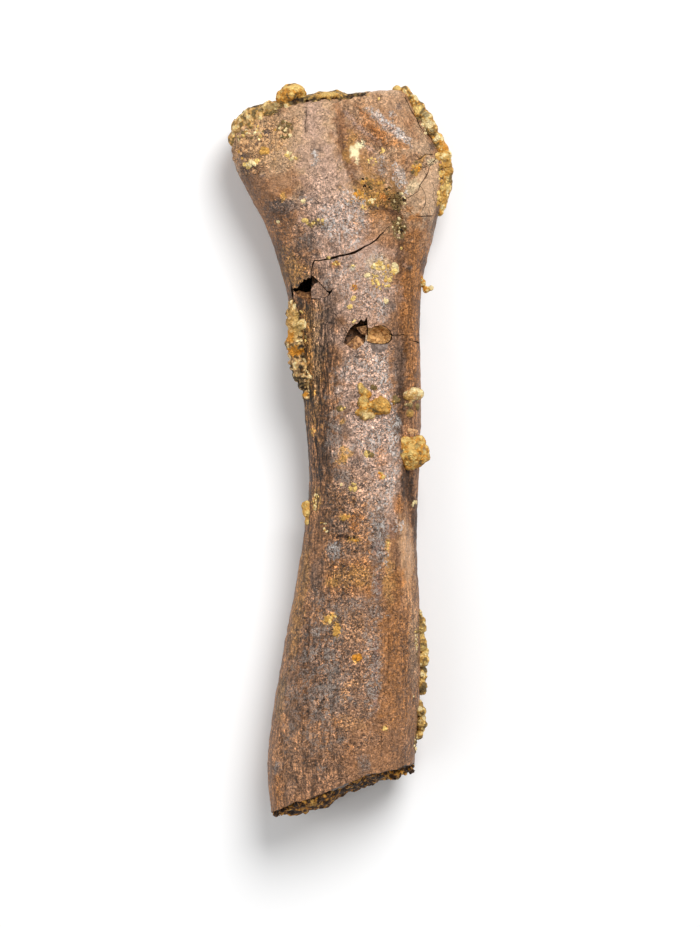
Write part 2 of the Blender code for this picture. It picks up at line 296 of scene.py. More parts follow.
# How far out a patch can reach, as a share of its half-sizes, and how far noise moves its edge
PATCH_REACH, RAGGED = 1.9, 0.5


def near_line(points, stroke):
    """1 on the stroke's line, falling to 0 at its width."""
    start, end = np.array(stroke.start), np.array(stroke.end)
    line = end - start
    share = np.clip((points[:, :2] - start) @ line / (line @ line), 0, 1)
    away = np.linalg.norm(points[:, :2] - start - share[:, None] * line, axis=1)
    return smooth_step(1 - away / stroke.width)


def lay_patch(points, patch):
    """Which points a patch reaches, and its strength there, with an edge that noise breaks up."""
    narrow = min(patch.across, patch.along)
    softness = min(0.25 + 0.13 * narrow, 0.9)
    turn = math.radians(patch.turn)
    dx, dy = points[:, 0] - patch.x, points[:, 1] - patch.y
    u = (dx * math.cos(turn) + dy * math.sin(turn)) / patch.across
    v = (-dx * math.sin(turn) + dy * math.cos(turn)) / patch.along
    away = np.hypot(u, v)
    reached = np.flatnonzero(away < PATCH_REACH)
    near = points[reached]
    size = 0.3 * narrow + 0.3
    rough = noise(near, size, 3) + 0.7 * noise(near, 0.45 * size, 4)
    return reached, patch.strength * smooth_step((1 - away[reached] + RAGGED * rough) / softness + 0.5)


# The bone's shape

# Where the whole skin is picked up from, how near to that its first face is, and how sharp an edge ends it
SKIN_START, SKIN_NEAR, SKIN_SHARPNESS = (9, -40), 3, 38
# The broken end is below this place along Y, where the bone is made longer by a spare length and cut off later
BREAK_BELOW, BREAK_SPARE = -60, 4

RELIEF = [Stroke(*row) for row in (
    ((-1.6, 79), (-2, 66), 1.6, 0.35), ((0.7, 78), (1, 62), 2.4, -0.6), ((4, 74), (11.5, 66.5), 2.4, -0.4),
    ((4.2, 79.5), (14.8, 69.3), 1.7, 0.4), ((3.8, 60), (10.5, 56.5), 3.2, -0.9),
    ((10.8, 56.5), (13.4, 49.5), 1.7, -0.9), ((15, 61), (21, 67.6), 1.1, -0.4),
    ((16, 59.5), (21.8, 65.4), 1.6, 0.3), ((8.4, 78), (9.4, 77.6), 1.1, -0.55),
    ((10.2, 77), (11.2, 77), 0.8, -0.35), ((-8.3, 80), (-8.8, 71), 0.9, -0.22),
    ((10.8, 50.2), (6.4, 46.5), 0.8, 0.22), ((6.4, 46.5), (1.2, 44.1), 0.8, 0.25),
    ((13.4, 50), (13.8, 14), 1.5, -0.65), ((15.2, 38), (15.4, 18), 0.8, -0.22),
    ((13.9, 6), (16.9, -26), 1.4, -0.6), ((9.5, 22), (11, -20), 2.2, 0.35), ((4.8, -5), (5.4, -24), 0.8, -0.25),
    ((11.9, -20), (12.4, -36), 0.9, -0.25), ((-1.4, -19.9), (0.4, -20), 0.7, -0.85),
    ((1.3, -20.6), (3.6, -20.7), 0.8, -0.55), ((-5, -21), (-5.2, -36), 0.8, -0.2),
    ((-8, -25), (-8.6, -62), 0.8, -0.28), ((7.6, -26), (8.2, -64), 0.8, -0.22),
    ((10.4, -38), (10.4, -57), 0.6, -0.2), ((-13.9, -66), (-13.5, -83), 0.8, -0.3),
)]

# Where the surface stands up in lumps, with its height in millimetres as its strength
BUMPY = patches(
    ("rough", (-19.5, 71, 6, 7, 0.45), (-13.2, 73.2, 2.2, 2.2, 0.34), (5, 70, 6, 9.5, 0.34, 25),
        (7, 58, 5.5, 4, 0.42, -20), (12.6, 54, 2, 5.5, 0.34), (12.8, 49, 2, 3.5, 0.3),
        (-7.5, 52.5, 4.5, 3.5, 0.16), (0, -14, 5, 12, 0.24), (1, -29, 5.5, 6, 0.24), (0.5, -52, 5, 13, 0.22),
        (-2.8, -40.2, 2.4, 3.2, 0.26, 20)),
)


class Break(NamedTuple):
    """A piece broken out of the surface: its outline in plan, its floor, how that rises, and its finish."""

    outline: list
    floor: float
    rise: tuple = (0.0, 0.0)
    finish: str = "dark"


BREAKS = {
    "side_hole": Break([
        (-11.7, 36.8), (-11.1, 37.3), (-10.6, 37.1), (-10.1, 37.6), (-9.8, 38.3), (-9.2, 38.6), (-9, 39.3),
        (-8.4, 39), (-8.1, 39.4), (-7.4, 39.5), (-7, 40.3), (-7.1, 38.4), (-7.5, 36.4), (-8.6, 36.2),
        (-10, 36.7), (-11, 36.4),
    ], 9),
    "slit_left": Break([
        (-11.9, 38.2), (-11.6, 37.2), (-11.45, 35.8), (-11.5, 34.6), (-11.8, 35.6), (-11.95, 37),
    ], 10),
    "hole_lip": Break([
        (-11.2, 36.6), (-10, 36.8), (-8.6, 36.5), (-7.4, 36.6), (-7.3, 35), (-7.5, 33.6), (-8, 33.4),
        (-8.4, 34.2), (-9.2, 34.6), (-10.2, 35.2),
    ], 16.6, (0.35, -0.55), "brown"),
    "pit_left": Break([
        (0.1, 24.5), (0.7, 26.2), (1.6, 27.9), (2.7, 28.8), (3.4, 29), (4.1, 29.9), (4.8, 29.4), (5.5, 30.5),
        (5.7, 28.1), (5.75, 26.6), (5.5, 25.2), (4.8, 24.4), (3.9, 23.6), (3, 22.9), (1.6, 23.5),
    ], 17.8, (0.1, -0.3), "walnut"),
    "pit_right": Break([
        (5.6, 28), (6.4, 27.9), (7.3, 28.4), (8.7, 28.6), (10.1, 27.8), (11.1, 26.4), (10.9, 25.3),
        (10.2, 24.4), (8, 24.2), (6.3, 24.5), (5.5, 25), (5.4, 26.4),
    ], 20, (0, 0), "amber"),
    "pit_shelf": Break([
        (6.1, 24.7), (10.3, 24.6), (10.2, 23.2), (9.6, 22.8), (8.9, 22.3), (7.4, 22.3), (6.6, 22.9),
    ], 20.9, (0.02, -0.03), "grey"),
    "chip_seat": Break([
        (-7.1, 40), (-6.6, 39.6), (-5.9, 39), (-4.6, 37.5), (-3.6, 36.4), (-3, 36.3), (-2.3, 36.9),
        (-2.5, 36.2), (-3, 35.6), (-3.7, 35), (-5, 34.7), (-6.6, 34.4), (-7.5, 34.6), (-7.7, 36.6),
        (-7.3, 38.4),
    ], 17.6),
}
CUTTER_TOP = 34
# Where rays that look for the surface start, above it or beyond the joint end
RAY_TOP, RAY_BEYOND = 60, 120
MARROW = {"middle": (-3.5, 37.0, 12.0), "radii": (7.0, 8.5, 5.0)}
PIT_BOWL = {"middle": (8.3, 26.3, 21.2), "radii": (2.65, 1.95, 2.9)}


class Crack(NamedTuple):
    """A crack along points in plan, with its width at the start, its middle and its end."""

    route: list
    widths: tuple
    depth: float


CRACKS = {
    "main": Crack([
        (10.6, 51.1), (10, 50.7), (9.4, 49.9), (8.5, 49.1), (7.6, 48), (6.6, 47.3), (5.9, 46.9), (5, 46.5),
        (3.9, 45.8), (2.6, 45.1), (1.6, 44.8), (0.4, 44.5), (-0.9, 44.3), (-1.8, 44), (-2.9, 43.7),
        (-3.9, 43.55), (-5.4, 43.3), (-6.5, 43.35), (-6.9, 42.6), (-7.1, 41.6), (-7.2, 40.7), (-7.25, 39.4),
    ], (0.2, 0.7, 0.2), 2.4),
    "beside_pit": Crack([
        (10.6, 26.6), (11.2, 26.2), (12.1, 26.35), (13, 26.3), (13.7, 26.6), (14.3, 26.3), (14.9, 26),
    ], (0.5, 0.26, 0.16), 1.4),
    "pit_rim": Crack([
        (9, 28.5), (10.1, 28), (10.8, 27.2), (11.2, 26.3), (11, 25.3), (10.4, 24.6), (9.3, 24.25), (8, 24.3),
        (6.6, 24.5), (5.6, 24.7),
    ], (0.2, 0.42, 0.25), 2.2),
    "to_right_edge": Crack([
        (15.1, 25.2), (15.8, 25.2), (16.3, 25), (16.8, 24.9), (17.6, 24.6),
    ], (0.2, 0.36, 0.3), 1.4),
    "above_pit": Crack([
        (-4.9, 34.4), (-3.8, 33.6), (-3, 32.9), (-2.5, 32.2), (-2.1, 31.4), (-1.4, 30.7), (-0.9, 29.7),
        (-0.1, 28.6), (0.5, 27.4), (1.2, 26.4),
    ], (0.14, 0.16, 0.2), 0.8),
    "left_of_pit": Crack([
        (-3.6, 27.4), (-2.7, 26.6), (-1.9, 26.2), (-0.9, 25.3), (0.3, 24.5),
    ], (0.1, 0.14, 0.16), 0.6),
    "flange_long": Crack([
        (21.4, 67.2), (20.6, 65.7), (19.8, 65), (19.4, 63.4), (18.6, 62), (17.6, 60.6), (17.2, 59.2),
        (16, 58.4), (14.8, 57.6),
    ], (0.32, 0.32, 0.19), 0.8),
    "flange_branch": Crack([(21, 66.6), (19.6, 65.2), (18.2, 64.6), (16.8, 64.9)], (0.32, 0.29, 0.16), 0.7),
    "flange_upper": Crack([(20.6, 67.9), (19, 67.9), (18, 67), (16.8, 66.4)], (0.38, 0.32, 0.19), 0.7),
    "flange_inner": Crack([
        (17.6, 60.6), (18.6, 59.2), (19, 57.8), (18.8, 56.2), (18, 54.6),
    ], (0.19, 0.26, 0.16), 0.6),
    "flange_lower": Crack([
        (15.4, 54.6), (16.4, 53.9), (17.4, 53.4), (18.6, 53.6), (19.6, 53.7), (20.6, 53.8),
    ], (0.19, 0.32, 0.29), 0.7),
    "flange_outer": Crack([(20.4, 61.4), (21, 60), (20.6, 58.4), (21, 57.2)], (0.16, 0.22, 0.16), 0.5),
    "top_line": Crack([
        (-8.3, 80.2), (-8.5, 78.2), (-8.3, 76.6), (-8.7, 74.4), (-8.6, 72.6),
    ], (0.35, 0.26, 0.13), 0.5),
    "rim_line": Crack([
        (14.2, 81.2), (14.9, 79.9), (15.6, 78.2), (16.9, 76.4), (17.6, 74.6), (18.6, 73.2),
    ], (0.38, 0.32, 0.22), 0.7),
    "lower_line": Crack([
        (10.3, -37.8), (10.5, -40.6), (10.3, -43.4), (10.5, -47), (10.3, -51), (10.5, -54.6),
    ], (0.1, 0.16, 0.1), 0.5),
    "lower_short": Crack([(8.7, -64.4), (8.8, -67), (8.6, -69.4)], (0.1, 0.14, 0.1), 0.5),
    "left_line": Crack([
        (-7.7, -36), (-7.6, -38.5), (-7.8, -41), (-7.7, -43.6), (-8.2, -46.6),
    ], (0.12, 0.24, 0.12), 0.6),
}

# The upper edge of the broken end in plan, and how the face leans back below it
BREAK_EDGE = [
    (-24, -83.6), (-16.4, -82.3), (-14.8, -81.8), (-13, -81), (-11.4, -80.5), (-9.8, -80.3), (-8.2, -79.7),
    (-6.6, -79.3), (-4.4, -78.6), (-2.8, -78), (-0.6, -77.1), (1.2, -76.4), (3.2, -75.4), (5.2, -74.5),
    (7.6, -73.9), (10.1, -73.4), (12.6, -72.9), (14.1, -72), (16.4, -71.2), (24, -69),
]
BREAK_TOP, BREAK_TILT = 23, 0.12
# The pocket in it, with its middle and its half-sizes across and up
BREAK_MIDDLE, BREAK_HALF, POCKET_DEPTH = (0.1, 12.3), (13.9, 10.2), 3
# How far apart the bumps of the face are, and how high
BREAK_ROUGHNESS = {"chips": (2.6, 0.35), "splinters": (1.1, 0.25), "grain": (0.5, 0.1)}
# The slab that cuts it: its reach across and up, the size of its faces and where it ends along Y
SLAB_ACROSS, SLAB_UP, SLAB_STEP, SLAB_END = (-24, 24), (-4, 30), 0.45, -110
SMOOTH_ANGLE = math.radians(40)


def copied_node(name, piece_name):
    """A copy of one of the frame's nodes, with the points of its facets merged."""
    piece = bpy.data.objects.new(piece_name, frame["nodes"][name].data.copy())
    bpy.context.scene.collection.objects.link(piece)
    piece.data.materials.clear()
    only(piece)
    bpy.ops.object.mode_set(mode="EDIT")
    bpy.ops.mesh.select_all(action="SELECT")
    bpy.ops.mesh.remove_doubles(threshold=0.005 * MM)
    bpy.ops.object.mode_set(mode="OBJECT")
    return piece


def copied_bone(settings):
    """A copy of the frame's bone with its breaks closed, which are cut again once it is smooth."""
    bone = copied_node("bone", "fossil_bone")
    bpy.ops.object.mode_set(mode="EDIT")
    start = Vector(SKIN_START)
    select_faces(bone, lambda middle, normal: normal.z > 0.8 and (middle.xy - start).length < SKIN_NEAR)
    bpy.ops.mesh.faces_select_linked_flat(sharpness=math.radians(SKIN_SHARPNESS))
    bpy.ops.mesh.select_all(action="INVERT")
    bpy.ops.mesh.delete(type="FACE")
    bpy.ops.mesh.select_mode(type="EDGE")
    bpy.ops.mesh.select_all(action="DESELECT")
    bpy.ops.mesh.select_non_manifold()
    bpy.ops.mesh.fill_holes(sides=0)
    select_faces(bone, lambda middle, normal: normal.y < -0.7 and middle.y < BREAK_BELOW)
    bpy.ops.mesh.extrude_region_move(TRANSFORM_OT_translate={"value": (0, -BREAK_SPARE * MM, 0)})
    bpy.ops.object.mode_set(mode="OBJECT")
    finish_with(bone, "REMESH", mode="VOXEL", voxel_size=settings.detail)
    finish_with(bone, "SMOOTH", factor=0.5, iterations=settings.roundness)
    return bone


def raise_relief(bone, settings):
    """Moves the surface along its normals for ridges, grooves, fibres and grain."""
    points, facing = places(bone), normals(bone)
    upper = smooth_step(2.5 * facing[:, 2])
    height = sum(stroke.amount * near_line(points, stroke) for stroke in RELIEF) * upper
    height += 0.20 * noise(points, (6, 14, 6), 1) + 0.10 * noise(points, (2.6, 4, 2.6), 2)
    height += settings.grain_height / MM * noise(points, 1.2, 5)
    fibres = noise(points, (0.95, 9, 0.95), 6) + 0.6 * noise(points, (1.7, 15, 1.7), 7)
    height += settings.fibre_height / MM * fibres * fibrous(points, facing)
    rough = 0.09 + laid(points, facing, BUMPY)["rough"]
    height += rough * (noise(points, 2.0, 8) + 0.9 * noise(points, 1.05, 9))
    move_points(bone, points + facing * height[:, None])


def fibrous(points, facing):
    """How far the surface shows long fibres: most on the left of the upper shaft and least on the crest."""
    off_crest = smooth_step(np.abs(points[:, 0] - 6.5) / 6.5 - 0.4)
    on_shaft = smooth_step((56 - points[:, 1]) / 16)
    bark = smooth_step(1.6 - np.hypot((points[:, 0] + 8) / 5, (points[:, 1] - 13) / 26))
    return (0.15 + (0.35 + 0.5 * bark) * on_shaft) * np.where(facing[:, 2] > 0, 0.15 + 0.85 * off_crest, 1)


def upper_side(facing):
    """1 on the upper side, falling to 0 a little below its edge."""
    return smooth_step(3 * facing[:, 2] + 0.6)


def laid(points, facing, marks):
    """The strength of each kind of mark at each point of the upper side."""
    upper = upper_side(facing)
    kinds = {mark.kind: np.zeros(len(points)) for mark in marks}
    for mark in marks:
        reached, strength = lay_patch(points, mark)
        layer = kinds[mark.kind]
        layer[reached] = np.maximum(layer[reached], strength * upper[reached])
    return kinds


def closed(mesh):
    """The mesh with its faces split into triangles and turned outward."""
    bmesh.ops.triangulate(mesh, faces=mesh.faces)
    bmesh.ops.recalc_face_normals(mesh, faces=mesh.faces)
    return mesh


def band(mesh, ring, following):
    """Faces between two rings of points."""
    for k in range(len(ring)):
        after = (k + 1) % len(ring)
        mesh.faces.new((ring[k], ring[after], following[after], following[k]))


def prism(outline, bottoms, tops):
    """A bmesh prism on an outline in plan, with a bottom and a top height for each corner."""
    mesh = bmesh.new()
    low = [mesh.verts.new(Vector((x, y, z)) * MM) for (x, y), z in zip(outline, bottoms)]
    high = [mesh.verts.new(Vector((x, y, z)) * MM) for (x, y), z in zip(outline, tops)]
    mesh.faces.new(low)
    mesh.faces.new(high)
    band(mesh, low, high)
    return closed(mesh)


def break_cutter(cut):
    """A prism whose floor slopes."""
    middle = np.mean(cut.outline, axis=0)
    floors = [cut.floor + float(np.dot(cut.rise, np.array(corner) - middle)) for corner in cut.outline]
    return prism(cut.outline, floors, [CUTTER_TOP] * len(floors))


def crack_cutter(crack, surface):
    """A narrow trench that follows the surface and closes downwards."""
    route = [Vector(p) for p in crack.route]
    mesh = bmesh.new()
    rows = []
    for k, place in enumerate(route):
        heading = (route[min(k + 1, len(route) - 1)] - route[max(k - 1, 0)]).normalized()
        half = np.interp(k / (len(route) - 1), (0, 0.5, 1), crack.widths) / 2
        across = Vector((-heading.y, heading.x)) * half * (1 + 0.3 * math.sin(5 * k))
        top = height_at(surface, *place)
        sides = ((1, top + 1), (-1, top + 1), (-0.3, top - crack.depth), (0.3, top - crack.depth))
        rows.append([mesh.verts.new(Vector((*(place + across * s), z)) * MM) for s, z in sides])
    for row, following in zip(rows, rows[1:]):
        band(mesh, row, following)
    mesh.faces.new(rows[0])
    mesh.faces.new(rows[-1])
    return closed(mesh)


def ball_cutter(middle, radii):
    mesh = bmesh.new()
    place = Matrix.Translation(Vector(middle) * MM) @ Matrix.Diagonal(Vector(radii) * MM).to_4x4()
    bmesh.ops.create_icosphere(mesh, subdivisions=4, radius=1, matrix=place)
    return mesh


def break_face(x, z):
    """How far along Y the broken face is at a place of the section, without its roughness."""
    return np.interp(x, *zip(*BREAK_EDGE)) + BREAK_TILT * (z - BREAK_TOP)


def broken_surface(x, z):
    """The broken face with its roughness and the pocket in it."""
    points = np.column_stack([x, np.zeros_like(x), z])
    face = break_face(x, z)
    for seed, (size, height) in enumerate(BREAK_ROUGHNESS.values()):
        face = face + height * noise(points, size, 20 + seed)
    inward = np.hypot((x - BREAK_MIDDLE[0]) / BREAK_HALF[0], (z - BREAK_MIDDLE[1]) / BREAK_HALF[1])
    inward = inward + 0.07 * noise(points, 3.0, 25)
    return face + POCKET_DEPTH * smooth_step((1 - inward) / 0.12)


def end_cutter():
    """A slab with the rough shape of the break on one side, which cuts the bone's spare end off."""
    xs, zs = np.arange(*SLAB_ACROSS, SLAB_STEP), np.arange(*SLAB_UP, SLAB_STEP)
    gx, gz = np.meshgrid(xs, zs)
    face = broken_surface(gx.ravel(), gz.ravel()).reshape(gx.shape)
    mesh = bmesh.new()
    grid = [
        [mesh.verts.new(Vector((gx[i, j], face[i, j], gz[i, j])) * MM) for j in range(len(xs))]
        for i in range(len(zs))
    ]
    for i, j in itertools.product(range(len(zs) - 1), range(len(xs) - 1)):
        mesh.faces.new((grid[i][j], grid[i][j + 1], grid[i + 1][j + 1], grid[i + 1][j]))
    pulled = bmesh.ops.extrude_edge_only(mesh, edges=[e for e in mesh.edges if e.is_boundary])
    for outer in pulled["geom"]:
        if isinstance(outer, bmesh.types.BMVert):
            outer.co.y = SLAB_END * MM
    bmesh.ops.holes_fill(mesh, edges=[e for e in mesh.edges if e.is_boundary], sides=0)
    return closed(mesh)


def cut_all(piece, cutters):
    """Cuts every cutter out of the piece, whose cut faces take the cutters' materials."""
    group = bpy.data.collections.new("cutters")
    bpy.context.scene.collection.children.link(group)
    for name, (mesh, finish) in cutters.items():
        cutter = new_object(name + "_cutter", mesh)
        cutter.data.materials.append(finish)
        bpy.context.scene.collection.objects.unlink(cutter)
        group.objects.link(cutter)
    finish_with(
        piece, "BOOLEAN", operation="DIFFERENCE", operand_type="COLLECTION", collection=group,
        solver="EXACT", material_mode="TRANSFER",
    )
    for cutter in list(group.objects):
        bpy.data.objects.remove(cutter, do_unlink=True)
    bpy.data.collections.remove(group)


def surface_of(piece):
    return BVHTree.FromObject(piece, bpy.context.evaluated_depsgraph_get())


def from_above(surface, x, y):
    """Where a ray from above meets a surface at a place in plan, in metres, and the normal there."""
    return surface.ray_cast(Vector((x, y, RAY_TOP)) * MM, Vector((0, 0, -1)))[:2]


def height_at(surface, x, y):
    """The height of a surface's upper face at a place in plan."""
    hit = from_above(surface, x, y)[0]
    if hit is None:
        raise RuntimeError(f"nothing is under the place {x:.1f}, {y:.1f}")
    return hit.z / MM


# The bone's colours

